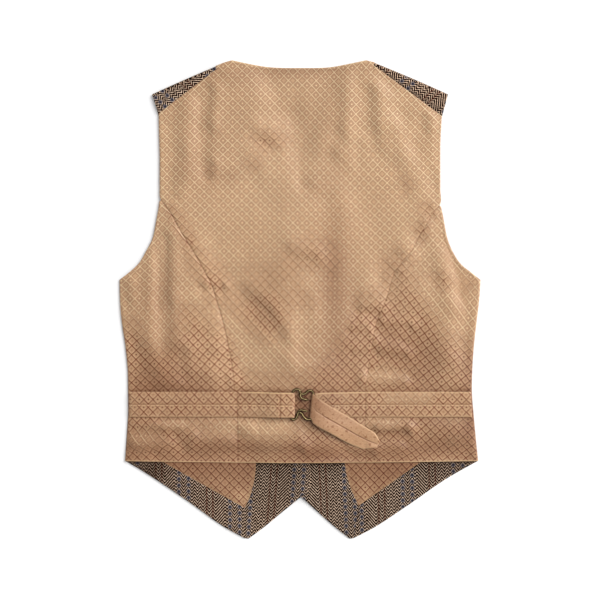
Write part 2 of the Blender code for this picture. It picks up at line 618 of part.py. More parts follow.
# ---------------------------------------------------------------- straps
STRAP_COLS = 4
BAR_X_LEFT = LEFT_LOOP_X - STRAP_T - WIRE_CLEAR - WIRE_R
PLY_RISE = 2 * (WIRE_R + WIRE_CLEAR)          # between the plies round a bar
LOOP_R = (PLY_RISE + 2 * STRAP_T) / 2.0       # outer radius of a loop


def strap_floor(x, y):
    """Underside of a strap that lies on the back."""
    return back_top(x, y) + STRAP_GAP


FLOOR_LEFT = float(strap_floor(np.array([BAR_X_LEFT]), np.array([-134.0]))[0])
left_low, left_high = [], []
for _name, up, low, rise in LEFT_STRAP_ROWS:
    p = even(up, low, STRAP_COLS)
    z = strap_floor(p[:, 0], p[:, 1])
    if rise:
        z = z + (FLOOR_LEFT + STRAP_T + PLY_RISE - z) * ease(np.full(len(z), rise / 3.6))
    left_low.append(np.column_stack((p, z)))
    left_high.append(np.column_stack((p, z + STRAP_T)))
# round the bar
centre = np.array((BAR_X_LEFT, FLOOR_LEFT + LOOP_R))
r_in = LOOP_R - STRAP_T
ys = np.linspace(-118.6, -150.0, STRAP_COLS + 1)
for deg in (90.0, 45.0, 0.0, -45.0, -90.0):
    a = math.radians(deg)
    for store, r in ((left_high, LOOP_R), (left_low, r_in)):
        x = centre[0] + r * math.cos(a)
        z = centre[1] + r * math.sin(a)
        store.append(np.column_stack((np.full(len(ys), x), ys, np.full(len(ys), z))))
# back under the strap to its sewn-down end
for x in (LEFT_LOOP_END / 2 + BAR_X_LEFT / 2, LEFT_LOOP_END):
    xs = np.full(len(ys), x)
    z = np.maximum(strap_floor(xs, ys), 0.0)
    left_high.append(np.column_stack((xs, ys, z)))
    left_low.append(np.column_stack((xs, ys, z + STRAP_T)))
wall("strap_left", np.array(left_low), np.array(left_high), SATIN)

# right strap: to the bar, round it, and back as the free tail
FLOOR_RIGHT = float(strap_floor(np.array([14.0]), np.array([-135.0]))[0])
low_rows, high_rows = [], []
for _name, up, low, _rise in RIGHT_STRAP_ROWS:
    p = even(up, low, STRAP_COLS)
    z = strap_floor(p[:, 0], p[:, 1])
    low_rows.append(np.column_stack((p, z)))
    high_rows.append(np.column_stack((p, z + STRAP_T)))
fold_line = even(TAIL_FOLD[0], TAIL_FOLD[1], STRAP_COLS)
back_way = np.array((1.0, -0.10))
back_way = back_way / np.hypot(*back_way)
for deg in (-90.0, -45.0, 0.0, 45.0, 90.0):
    a = math.radians(deg)
    for store, r in ((low_rows, LOOP_R), (high_rows, r_in)):
        p = fold_line + back_way * (LOOP_R - r * math.cos(a))
        z = FLOOR_RIGHT + LOOP_R + r * math.sin(a)
        store.append(np.column_stack((p, np.full(len(p), z))))
for _name, up, low, rise_up, rise_low in TAIL_ROWS:
    p = even(up, low, STRAP_COLS)
    rise = np.linspace(rise_up, rise_low, STRAP_COLS + 1)
    z = back_top(p[:, 0], p[:, 1]) + rise
    high_rows.append(np.column_stack((p, z)))
    low_rows.append(np.column_stack((p, z + STRAP_T)))
wall("strap_right", np.array(low_rows), np.array(high_rows), SATIN)

# ---------------------------------------------------------------- buckle
WIRE_SIDES = 6
BAR_Z = FLOOR_LEFT + LOOP_R


def closed_smooth(points, per):
    pts = np.array(points, float)
    n = len(pts)
    out = []
    for k in range(n):
        p0, p1, p2, p3 = pts[k - 1], pts[k], pts[(k + 1) % n], pts[(k + 2) % n]
        for j in range(per):
            f = j / per
            out.append(0.5 * (2 * p1 + (p2 - p0) * f + (2 * p0 - 5 * p1 + 4 * p2 - p3) * f * f
                              + (3 * p1 - p0 - 3 * p2 + p3) * f ** 3))
    return np.array(out)


def tube(name, path, radii, closed, look):
    n = len(path)
    rings = []
    for k in range(n):
        if closed:
            t = path[(k + 1) % n] - path[k - 1]
        else:
            t = path[min(k + 1, n - 1)] - path[max(k - 1, 0)]
        t = t / np.linalg.norm(t)
        side = np.cross((0.0, 0.0, 1.0), t)
        side = side / np.linalg.norm(side)
        up = np.cross(t, side)
        ring = [path[k] + radii[k] * (math.cos(a) * side + math.sin(a) * up)
                for a in np.linspace(0, 2 * math.pi, WIRE_SIDES, endpoint=False)]
        rings.append(ring)
    verts = [v for ring in rings for v in ring]
    faces = []
    for k in range(n if closed else n - 1):
        for j in range(WIRE_SIDES):
            a, b = k * WIRE_SIDES, ((k + 1) % n) * WIRE_SIDES
            jn = (j + 1) % WIRE_SIDES
            faces.append((a + j, a + jn, b + jn, b + j))
    if not closed:
        faces.append(tuple(reversed(range(WIRE_SIDES))))
        faces.append(tuple((n - 1) * WIRE_SIDES + j for j in range(WIRE_SIDES)))
    return make_object(name, verts, faces, look)


frame_path = closed_smooth([(x, y, BAR_Z + h) for _n, x, y, h in BUCKLE_FRAME], 2)
buckle = tube("buckle", frame_path, [WIRE_R] * len(frame_path), True, BRASS)
for label, rows in (("upper", PRONG_UPPER), ("lower", PRONG_LOWER)):
    path = smooth_run([(x, y, BAR_Z + h) for _n, x, y, h in rows], 8)
    radii = [WIRE_R * 0.96] * 6 + [WIRE_R * 0.8, WIRE_R * 0.62, WIRE_R * 0.4]
    prong = tube("prong_" + label, path, radii, False, BRASS)
    join = buckle.modifiers.new("join_" + label, "BOOLEAN")
    join.operation = "UNION"
    join.solver = "EXACT"
    join.object = prong
    bpy.context.view_layer.update()
    depsgraph = bpy.context.evaluated_depsgraph_get()
    joined = bpy.data.meshes.new_from_object(buckle.evaluated_get(depsgraph))
    buckle.modifiers.remove(join)
    bpy.data.objects.remove(prong, do_unlink=True)
    buckle.data = joined
buckle.data.materials.clear()
buckle.data.materials.append(material("mat_buckle_brass", *BRASS))

# ---------------------------------------------------------------- buttons
BUTTON_SIDES = 16
# name, radius as a share of the button's, height as a share of its thickness
BUTTON_PROFILE = (
    ("face well", 0.55, 0.14),
    ("face rim",  0.80, 0.0),
    ("edge low",  1.00, 0.25),
    ("edge high", 1.00, 0.70),
    ("back",      0.80, 1.0),
)
for k, y in enumerate(BUTTON_Y):
    verts, faces = [], []
    for _name, r, h in BUTTON_PROFILE:
        for a in np.linspace(0, 2 * math.pi, BUTTON_SIDES, endpoint=False):
            verts.append((BUTTON_R * r * math.cos(a), BUTTON_R * r * math.sin(a), BUTTON_T * h))
    for i in range(len(BUTTON_PROFILE) - 1):
        for j in range(BUTTON_SIDES):
            jn = (j + 1) % BUTTON_SIDES
            a, b = i * BUTTON_SIDES, (i + 1) * BUTTON_SIDES
            faces.append((a + j, b + j, b + jn, a + jn))
    faces.append(tuple(range(BUTTON_SIDES)))
    last = (len(BUTTON_PROFILE) - 1) * BUTTON_SIDES
    faces.append(tuple(last + j for j in reversed(range(BUTTON_SIDES))))
    button = make_object("button_%d" % (k + 1), verts, faces, HORN)
    button.location = (0.0, y * MM, 0.0)
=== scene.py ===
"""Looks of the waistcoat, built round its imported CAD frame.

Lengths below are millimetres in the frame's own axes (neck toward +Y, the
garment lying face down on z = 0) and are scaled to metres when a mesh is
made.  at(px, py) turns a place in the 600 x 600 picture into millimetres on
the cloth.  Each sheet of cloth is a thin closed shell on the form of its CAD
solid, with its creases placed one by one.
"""
import math

import bpy
import numpy as np
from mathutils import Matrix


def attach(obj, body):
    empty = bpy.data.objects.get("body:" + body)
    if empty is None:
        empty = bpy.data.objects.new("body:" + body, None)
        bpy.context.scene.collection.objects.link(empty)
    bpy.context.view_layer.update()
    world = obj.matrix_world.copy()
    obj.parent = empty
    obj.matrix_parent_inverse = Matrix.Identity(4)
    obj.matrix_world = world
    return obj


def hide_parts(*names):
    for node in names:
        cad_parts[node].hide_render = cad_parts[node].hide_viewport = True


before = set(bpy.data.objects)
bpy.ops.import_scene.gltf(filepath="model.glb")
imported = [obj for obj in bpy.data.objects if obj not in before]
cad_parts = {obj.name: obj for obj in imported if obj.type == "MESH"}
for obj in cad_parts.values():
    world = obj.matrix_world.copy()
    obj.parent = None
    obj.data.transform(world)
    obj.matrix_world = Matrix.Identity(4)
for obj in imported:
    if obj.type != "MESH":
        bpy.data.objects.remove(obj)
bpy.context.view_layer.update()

MM = 0.001

# ================================================================ sizes of the cloth, as in the CAD
WOOL_T = 1.4
FACING_T = 1.2
SATIN_T = 1.0
STRAP_T = 1.2
LAY_GAP = 0.35
LOFT = 1.3
LOFT_MAX = 3.0
Z_FACING = WOOL_T + LAY_GAP
Z_BACK = Z_FACING + FACING_T + LAY_GAP
BUTTON_R = 7.5
BUTTON_T = 2.2
BUTTON_Y = (80.0, 7.0, -66.0, -139.0, -212.0)
BUTTON_LIFT = BUTTON_T + 0.3
LAP_LIFT = WOOL_T + LAY_GAP + FACING_T + LAY_GAP
LAP_HALF = 11.5
RIDGE_FLAT = 14.0
RIDGE_FALL = 60.0
ROLL_W = 5.0
ROLL_H = Z_BACK - (WOOL_T + 0.45)
FOLD_R = (Z_BACK + WOOL_T) / 2.0
NECK_SAG = 2.4
STRAP_GAP = 0.45
WIRE_R = 0.8
WIRE_CLEAR = 0.35

BACK_ROWS = (
    ("seam start", (-179.7, 125.0), (-177.5, 127.0), (178.0, 120.0), (180.0, 118.5)),
    ("arm 1",      (-180.2, 118.5), (-172.0, 119.5), (170.0, 110.5), (181.9, 110.0)),
    ("arm 2",      (-182.0, 109.0), (-164.5, 109.5), (161.5,  97.0), (184.3,  97.0)),
    ("arm 3",      (-184.7,  94.0), (-156.0,  93.5), (150.5,  78.5), (188.0,  78.5)),
    ("arm 4",      (-188.2,  78.0), (-147.0,  78.5), (140.0,  59.5), (195.5,  60.0)),
    ("arm 5",      (-195.5,  63.5), (-138.0,  64.0), (127.0,  44.5), (206.0,  44.5)),
    ("arm 6",      (-206.0,  46.0), (-128.5,  48.0), (119.5,  32.0), (218.5,  34.5)),
    ("arm 7",      (-219.5,  33.5), (-119.5,  31.0), (116.5,  24.0), (226.0,  28.5)),
    ("underarm",   (-230.5,  25.0), (-113.5,  20.0), (114.0,  13.5), (230.5,  25.0)),
    ("ribs",       (-230.0,   2.0), (-107.5,   1.0), (107.5,  -4.5), (229.0,   2.0)),
    ("waist 1",    (-227.5, -28.5), ( -98.5, -28.5), ( 97.5, -28.5), (225.5, -28.5)),
    ("waist 2",    (-223.0, -59.5), ( -91.5, -59.5), ( 91.5, -59.5), (222.0, -59.5)),
    ("waist 3",    (-220.0, -90.0), ( -86.0, -90.0), ( 87.0, -90.0), (220.0, -90.0)),
    ("strap top",  (-219.5, -118.0), (-83.5, -118.0), (83.0, -118.0), (219.5, -118.0)),
    ("strap foot", (-219.5, -150.0), (-80.0, -150.0), (83.0, -150.0), (222.0, -150.0)),
    ("seat",       (-221.5, -182.0), (-79.5, -182.0), (83.5, -182.0), (225.0, -182.0)),
    ("hem",        (-223.5, -206.0), (-79.5, -208.0), (84.0, -208.0), (227.5, -206.0)),
)
YOKE_ROWS = (
    ("shoulder",  (-180.3, 238.1), (181.3, 234.6)),
    ("blade 1",   (-180.0, 222.0), (180.2, 222.0)),
    ("blade 2",   (-179.5, 202.0), (179.2, 202.0)),
    ("blade 3",   (-179.0, 183.0), (179.0, 182.0)),
    ("blade 4",   (-179.0, 164.0), (179.0, 162.0)),
    ("blade 5",   (-179.0, 145.0), (179.0, 141.0)),
)
TOP_RUNS = (
    (4, ((-180.3, 238.1), (-107.2, 294.1))),
    (1, ((-107.2, 294.1), (-108.0, 298.2))),
    (1, ((-108.0, 298.2), (-94.3, 303.5), (-87.0, 305.5))),
    (4, ((-87.0, 305.5), (-63.0, 300.5), (-39.0, 297.0), (0.0, 296.0),
         (38.5, 297.0), (62.5, 301.0), (84.5, 305.5))),
    (1, ((84.5, 305.5), (95.3, 302.9))),
    (1, ((95.3, 302.9), (94.3, 299.2))),
    (4, ((94.3, 299.2), (181.3, 234.6))),
)
FOLD_LEFT = ((-189.0, 262.5), (-154.5, 278.0), (-120.0, 293.0), (-108.7, 297.7))
SEAM_LEFT = ((-180.5, 238.5), (-107.5, 294.5))
FOLD_RIGHT = ((189.0, 262.5), (154.5, 278.0), (119.0, 293.0), (96.0, 302.4))
SEAM_RIGHT = ((181.5, 235.1), (94.7, 299.5))
FRONT_LEFT_ROWS = (
    ("yoke",      (-182.0, 240.0), (-126.0, 258.0), (-74.0, 279.0)),
    ("yoke low",  (-176.5, 219.0), (-121.0, 232.0), (-59.5, 247.0)),
    ("chest 1",   (-175.0, 195.0), (-116.0, 207.0), (-51.5, 221.0)),
    ("chest 2",   (-174.5, 168.0), (-111.0, 179.0), (-41.5, 191.0)),
    ("chest 3",   (-174.5, 141.0), (-105.0, 151.0), (-30.0, 161.0)),
    ("chest 4",   (-176.0, 115.0), (-100.0, 121.0), (-12.0, 128.0)),
    ("break",     (-182.0,  88.0), ( -95.0,  90.0), (LAP_HALF, 91.5)),
    ("arm 1",     (-190.0,  68.0), ( -91.0,  69.0), (LAP_HALF, 70.0)),
    ("arm 2",     (-203.0,  48.0), ( -88.0,  49.0), (LAP_HALF, 50.0)),
    ("arm 3",     (-217.0,  34.5), ( -85.5,  35.0), (LAP_HALF, 36.0)),
    ("underarm",  (-230.5,  25.0), ( -83.5,  22.0), (LAP_HALF, 22.0)),
    ("ribs",      (-230.0,   2.0), ( -80.0,   0.0), (LAP_HALF, 0.0)),
    ("waist 1",   (-227.5, -28.5), ( -75.0, -29.0), (LAP_HALF, -30.0)),
    ("waist 2",   (-223.0, -59.5), ( -70.0, -60.0), (LAP_HALF, -60.0)),
    ("waist 3",   (-220.0, -90.0), ( -66.0, -91.0), (LAP_HALF, -92.0)),
    ("waist 4",   (-219.5, -118.0), (-61.5, -122.0), (LAP_HALF, -126.0)),
    ("seat 1",    (-219.5, -143.0), (-58.0, -158.0), (LAP_HALF, -162.0)),
    ("seat 2",    (-220.5, -160.0), (-56.0, -195.0), (LAP_HALF, -202.0)),
    ("corner",    (-221.4, -173.0), (-58.5, -231.5), (LAP_HALF, -242.5)),
    ("notch",     (-221.7, -177.5), (-63.5, -251.0), (1.5, -251.0)),
    ("apex",      (-222.0, -181.5), (-70.5, -266.5), (-22.0, -270.5)),
    ("mitre",     (-222.8, -194.0), (-70.8, -287.0), (-47.0, -291.5)),
)
HEM_LEFT = ((-223.5, -206.0), (-205.5, -216.5), (-145.0, -256.5),
            (-91.0, -294.0), (-71.0, -304.6)), ((-71.0, -304.6), (-66.0, -305.5))
FRONT_RIGHT_ROWS = (
    ("yoke",      (182.0, 240.0), (126.0, 258.0), (74.0, 279.0)),
    ("yoke low",  (176.5, 219.0), (121.0, 232.0), (59.5, 247.0)),
    ("chest 1",   (175.0, 195.0), (116.0, 207.0), (51.5, 221.0)),
    ("chest 2",   (174.5, 168.0), (111.0, 179.0), (41.5, 191.0)),
    ("chest 3",   (174.5, 141.0), (105.0, 151.0), (30.0, 161.0)),
    ("chest 4",   (176.0, 115.0), (100.0, 121.0), (12.0, 128.0)),
    ("break",     (182.0,  88.0), ( 95.0,  90.0), (-LAP_HALF, 91.5)),
    ("arm 1",     (190.0,  68.0), ( 91.0,  69.0), (-LAP_HALF, 70.0)),
    ("arm 2",     (203.0,  48.0), ( 88.0,  49.0), (-LAP_HALF, 50.0)),
    ("arm 3",     (217.0,  34.5), ( 85.5,  35.0), (-LAP_HALF, 36.0)),
    ("underarm",  (230.5,  25.0), ( 83.5,  22.0), (-LAP_HALF, 22.0)),
    ("ribs",      (229.0,   2.0), ( 80.0,   0.0), (-LAP_HALF, 0.0)),
    ("waist 1",   (225.5, -28.5), ( 75.0, -29.0), (-LAP_HALF, -30.0)),
    ("waist 2",   (222.0, -59.5), ( 70.0, -60.0), (-LAP_HALF, -60.0)),
    ("waist 3",   (220.0, -90.0), ( 66.0, -91.0), (-LAP_HALF, -92.0)),
    ("waist 4",   (219.5, -116.0), (61.5, -122.0), (-LAP_HALF, -126.0)),
    ("seat 1",    (220.5, -134.0), (58.0, -158.0), (-LAP_HALF, -162.0)),
    ("seat 2",    (221.6, -146.0), (56.5, -195.0), (-LAP_HALF, -202.0)),
    ("corner",    (222.2, -153.0), (60.5, -228.0), (-LAP_HALF, -242.5)),
    ("notch",     (222.5, -156.5), (67.0, -247.0), (0.5, -251.0)),
    ("apex",      (222.8, -159.5), (74.5, -264.0), (22.0, -270.5)),
    ("mitre",     (225.0, -183.0), (71.5, -286.0), (46.0, -291.5)),
)
HEM_RIGHT = ((227.5, -206.0), (191.0, -226.5), (134.0, -265.5),
             (91.5, -293.0), (69.0, -304.6)), ((69.0, -304.6), (64.0, -305.5))
SIDE_INSET = 6.5
ARM_INSET = 2.0
EDGE_INSET = 0.5
FOLD_INSET = 3.0
NECK_OPENING = ((306.0, 86.0), (262.0, 66.0), (210.0, 48.0), (152.0, 26.0), (111.0, 0.0))
FOLDS = (
    (-153.0, 243.0, -152.0, 190.0, 11.0, -0.9),
    (-133.0, 246.0, -131.0, 176.0, 10.0,  0.8),
    (-113.0, 262.0, -118.0, 158.0, 11.0, -1.0),
    ( -50.0, 216.0,  -32.0, 200.0, 12.0, -1.0),
    (  57.0, 256.0,   52.0, 188.0, 10.0, -0.9),
    (  89.0, 258.0,  101.0, 190.0, 11.0, -1.1),
    ( 120.0, 258.0,  146.0, 172.0, 11.0,  1.2),
    (-168.0,  78.0, -163.0, -60.0, 11.0, -1.3),
    (-190.0,  30.0, -182.0, -60.0, 11.0,  0.9),
    ( -54.0,  -2.0,  -24.0, -46.0, 13.0, -1.2),
    (  45.0,  76.0,   44.0, -58.0, 12.0, -0.9),
    ( 118.0, -10.0,  178.0, -104.0, 24.0, -1.2),
    (-100.0, -166.0, 110.0, -168.0, 11.0,  0.9),
    (-120.0, -189.0, 110.0, -189.0, 9.0, -0.6),
)
LEFT_STRAP_ROWS = (
    ((-218.0, -118.0), (-218.0, -150.0), 0.0),
    ((-215.0, -118.0), (-215.0, -150.0), 0.0),
    ((-190.0, -118.0), (-190.0, -150.0), 0.0),
    ((-155.0, -118.0), (-155.0, -150.0), 0.0),
    ((-120.0, -118.0), (-120.0, -150.0), 0.0),
    ((-82.0, -118.0), (-82.0, -150.0), 0.0),
    ((-66.0, -118.0), (-66.0, -150.0), 0.3),
    ((-50.0, -118.2), (-50.0, -150.0), 0.9),
    ((-36.0, -118.4), (-36.0, -150.0), 2.3),
    ((-25.0, -118.6), (-25.0, -150.0), 3.2),
    ((-12.0, -118.6), (-12.0, -150.0), 3.6),
)
LEFT_LOOP_X = -6.6
LEFT_LOOP_END = -27.0
RIGHT_STRAP_ROWS = (
    ((218.0, -118.0), (219.0, -150.0)),
    ((215.0, -118.0), (216.0, -150.0)),
    ((190.0, -118.0), (190.0, -150.0)),
    ((155.0, -118.0), (155.0, -150.0)),
    ((120.0, -118.0), (120.0, -150.0)),
    ((83.0, -118.2), (83.0, -150.0)),
    ((66.0, -118.4), (66.0, -150.0)),
    ((50.0, -118.6), (50.0, -150.2)),
    ((34.0, -118.8), (34.0, -150.4)),
    ((24.0, -119.2), (23.0, -150.4)),
)
TAIL_FOLD = ((15.0, -120.4), (11.9, -150.3))
TAIL_ROWS = (
    ((25.0, -127.0), (16.5, -157.0), 4.5, 4.5),
    ((36.0, -134.0), (24.0, -162.0), 4.0, 4.4),
    ((50.0, -142.5), (35.5, -168.0), 3.2, 4.2),
    ((64.0, -150.5), (49.5, -176.0), 2.6, 3.6),
    ((80.0, -160.5), (65.0, -184.5), 1.9, 2.6),
    ((95.5, -170.0), (80.0, -190.5), 1.5, 1.7),
    ((102.0, -181.0), (97.0, -188.5), 1.4, 1.4),
)
BUCKLE_FRAME = (
    (-10.2, -148.0, 0.0), (-9.6, -134.0, 0.0), (-9.2, -121.0, 0.0),
    (-8.6, -117.2, 0.0), (-6.8, -114.6, 0.2), (-3.6, -113.8, 0.4),
    (-0.4, -115.2, 0.3), (0.4, -118.6, 0.0), (3.4, -120.2, 0.0),
    (7.4, -119.2, 0.2), (10.0, -116.4, 0.4), (13.4, -115.4, 0.3),
    (16.4, -117.6, 0.0), (17.4, -121.4, 0.0), (16.4, -134.0, 0.0),
    (14.8, -147.5, 0.0), (14.2, -151.4, 0.0), (11.8, -152.4, 0.0),
    (8.2, -151.8, 0.2), (4.8, -148.8, 0.3), (2.0, -144.4, 0.0),
    (-2.0, -143.6, 0.0), (-3.4, -147.4, 0.2), (-5.4, -151.2, 0.3),
    (-8.6, -152.4, 0.1), (-10.4, -151.2, 0.0),
)
PRONG_UPPER = ((0.9, -119.4, 0.2), (0.4, -122.6, 0.8), (2.2, -125.2, 1.0),
               (6.0, -126.5, 1.1), (11.3, -127.7, 1.2))
PRONG_LOWER = ((-1.0, -143.4, 0.2), (-1.6, -141.4, 0.8), (1.4, -140.0, 1.0),
               (5.0, -140.9, 1.1), (9.6, -141.9, 1.2))

# ================================================================ what the light shows
# the key light stands to the upper right of the picture
KEY_AZ, KEY_EL = 36.0, 47.0
KEY_X, KEY_Y = math.cos(math.radians(KEY_AZ)), math.sin(math.radians(KEY_AZ))

# listed creases: where a flank of the cloth turns to the light (+) or
# away from it (-), as lines in the picture: x0, y0, x1, y1, half width, turn
CREASES = (
    (180, 108, 180, 150, 7, -0.05), (181, 150, 178, 192, 7, -0.04),
    (211, 92, 208, 126, 6, -0.11), (208, 126, 209, 160, 6, -0.05),
    (211, 166, 209, 172, 5, -0.07),
    (258, 133, 278, 148, 6, -0.07), (246, 156, 260, 176, 7, -0.04),
    (341, 92, 340, 130, 6, -0.05), (340, 130, 334, 156, 6, -0.03),
    (334, 156, 312, 183, 7, -0.035),
    (372, 92, 374, 126, 6, -0.11), (374, 126, 379, 148, 6, -0.07),
    (397, 163, 411, 197, 6, -0.030),
    (427, 119, 427, 128, 6, -0.11), (432, 209, 432, 213, 5, -0.10),
    (422, 226, 420, 231, 6, -0.10), (401, 258, 395, 266, 9, -0.13),
    (437, 275, 438, 279, 5, -0.08),
    (290, 254, 312, 259, 8, -0.09),
    (334, 200, 332, 352, 11, -0.045),
    (205, 287, 222, 286, 4, -0.12),
    (168, 238, 168, 300, 6, -0.12), (168, 300, 172, 342, 6, -0.08),
    (125, 284, 126, 298, 6, -0.13), (462, 266, 462, 271, 5, -0.06),
    (248, 293, 268, 310, 7, -0.11), (268, 310, 286, 338, 7, -0.09),
    (361, 309, 378, 311, 5, -0.08), (383, 325, 408, 327, 5, -0.13), (380, 340, 402, 341, 5, 0.07),
    (352, 330, 366, 331, 4, -0.07), (380, 353, 404, 356, 5, -0.13), (354, 352, 366, 352, 4, -0.06), (366, 318, 382, 318, 4, 0.05),
    (188, 352, 214, 350, 4, -0.04), (196, 364, 224, 362, 4, 0.04), (186, 340, 210, 339, 4, 0.03),
    (412, 310, 444, 388, 14, -0.06),
    (141, 345, 162, 390, 11, -0.07), (170, 352, 182, 353, 8, -0.06),
    (190, 377, 226, 379, 5, -0.08), (140, 388, 230, 388, 5, -0.05),
    (240, 391, 254, 399, 6, -0.07), (244, 415, 253, 415, 4, -0.07),
    (129, 427, 160, 428, 4, -0.08), (190, 449, 300, 450, 6, -0.10),
    (300, 450, 352, 448, 6, -0.05), (350, 452, 371, 452, 5, -0.08),
    (378, 432, 405, 430, 5, -0.20), (432, 438, 468, 446, 11, -0.05),
    (163, 128, 163, 192, 6, 0.05), (194, 98, 192, 165, 9, 0.055),
    (264, 122, 286, 122, 9, 0.04), (353, 68, 354, 162, 6, 0.05),
    (386, 88, 396, 118, 8, 0.055), (396, 118, 409, 150, 9, 0.060),
    (409, 150, 427, 186, 8, 0.040), (438, 138, 438, 162, 5, 0.06),
    (204, 243, 223, 277, 10, 0.05), (155, 250, 155, 342, 6, 0.07),
    (376, 287, 380, 290, 10, 0.08), (450, 254, 458, 300, 9, 0.09),
    (458, 300, 455, 352, 9, 0.06), (295, 300, 294, 332, 7, 0.04),
    (300, 357, 331, 357, 10, 0.04), (220, 320, 219, 376, 7, 0.05),
    (368, 375, 406, 376, 6, 0.10), (258, 427, 299, 427, 9, 0.06),
    (199, 434, 231, 434, 5, 0.09), (159, 421, 181, 422, 4, 0.08),
    (138, 440, 171, 439, 5, 0.08), (124, 456, 151, 455, 4, 0.07),
    (374, 442, 401, 442, 5, 0.07), (228, 60, 262, 92, 12, 0.03),
    (262, 212, 260, 272, 14, 0.030), (228, 345, 236, 372, 8, 0.040), (208, 260, 212, 286, 8, 0.030),
    (355, 205, 372, 262, 10, 0.03), (300, 90, 312, 150, 9, -0.025),
    (448, 95, 447, 190, 5, -0.04),
    (310, 306, 318, 346, 7, -0.03), (268, 345, 300, 382, 8, -0.03),
)
# where the figure of the satin shows painted shade instead of painted sheen: below this line ...
DARK_FROM = ((120, 326), (136, 325), (150, 343), (160, 354), (172, 336), (188, 320), (206, 320),
             (230, 338), (238, 358), (247, 378), (300, 381), (320, 364), (336, 346), (347, 326),
             (353, 302), (384, 290), (404, 277), (418, 290), (436, 318), (452, 333), (466, 342), (480, 348))
# ... and in these places (+), but not in those (-): x, y, rx, ry, weight
TURNS = (
    (269, 141, 18, 10, 0.85), (252, 165, 12, 9, 0.42), (211, 171, 8, 8, 0.42), (406, 184, 8, 10, 0.45),
    (428, 211, 8, 9, 0.80), (421, 231, 8, 11, 0.75), (397, 268, 18, 15, 0.55), (444, 282, 9, 11, 0.85),
    (172, 214, 5, 9, 0.70), (180, 226, 6, 10, 0.80), (190, 242, 7, 12, 0.85), (200, 262, 13, 16, 0.62),
    (216, 284, 15, 18, 1.00), (313, 255, 26, 17, 0.78), (272, 274, 20, 12, 0.35), (262, 307, 24, 20, 1.10), (272, 326, 16, 18, 0.80),
    (300, 298, 22, 10, 0.35), (189, 312, 12, 10, 0.50), (470, 287, 5, 6, 0.40), (332, 275, 8, 26, 0.25),
    (387, 376, 17, 6, -0.95), (452, 315, 14, 26, -0.35), (296, 352, 34, 16, -0.20),
    (176, 423, 18, 5, -1.30), (262, 429, 34, 9, -1.22), (290, 424, 12, 8, -0.40), (141, 440, 18, 7, -1.32),
    (226, 425, 16, 9, -0.75), (204, 430, 12, 8, -0.45), (386, 422, 17, 6, -0.85), (458, 420, 12, 5, -0.20),
)
# painted shade (+) and painted light (-) on the wool below the hem: x, y, rx, ry, darker (+) or paler (-)
WOOL_SHADE_PAINT = ((290, 482, 10, 20, 0.17), (352, 512, 12, 24, 0.12), (150, 474, 16, 9, 0.60), (180, 490, 16, 7, 0.30), (208, 500, 14, 8, 0.15), (330, 468, 16, 8, 0.08),
               (268, 478, 10, 14, -0.12), (352, 535, 8, 8, 0.06))
# where the figure all but sinks into the ground: x, y, rx, ry, how far
SMOOTH = ((462, 290, 16, 46, 0.50), (446, 250, 10, 30, 0.42), (284, 428, 22, 8, 0.50),
          (386, 376, 15, 5, 0.46), (380, 421, 13, 5, 0.40))
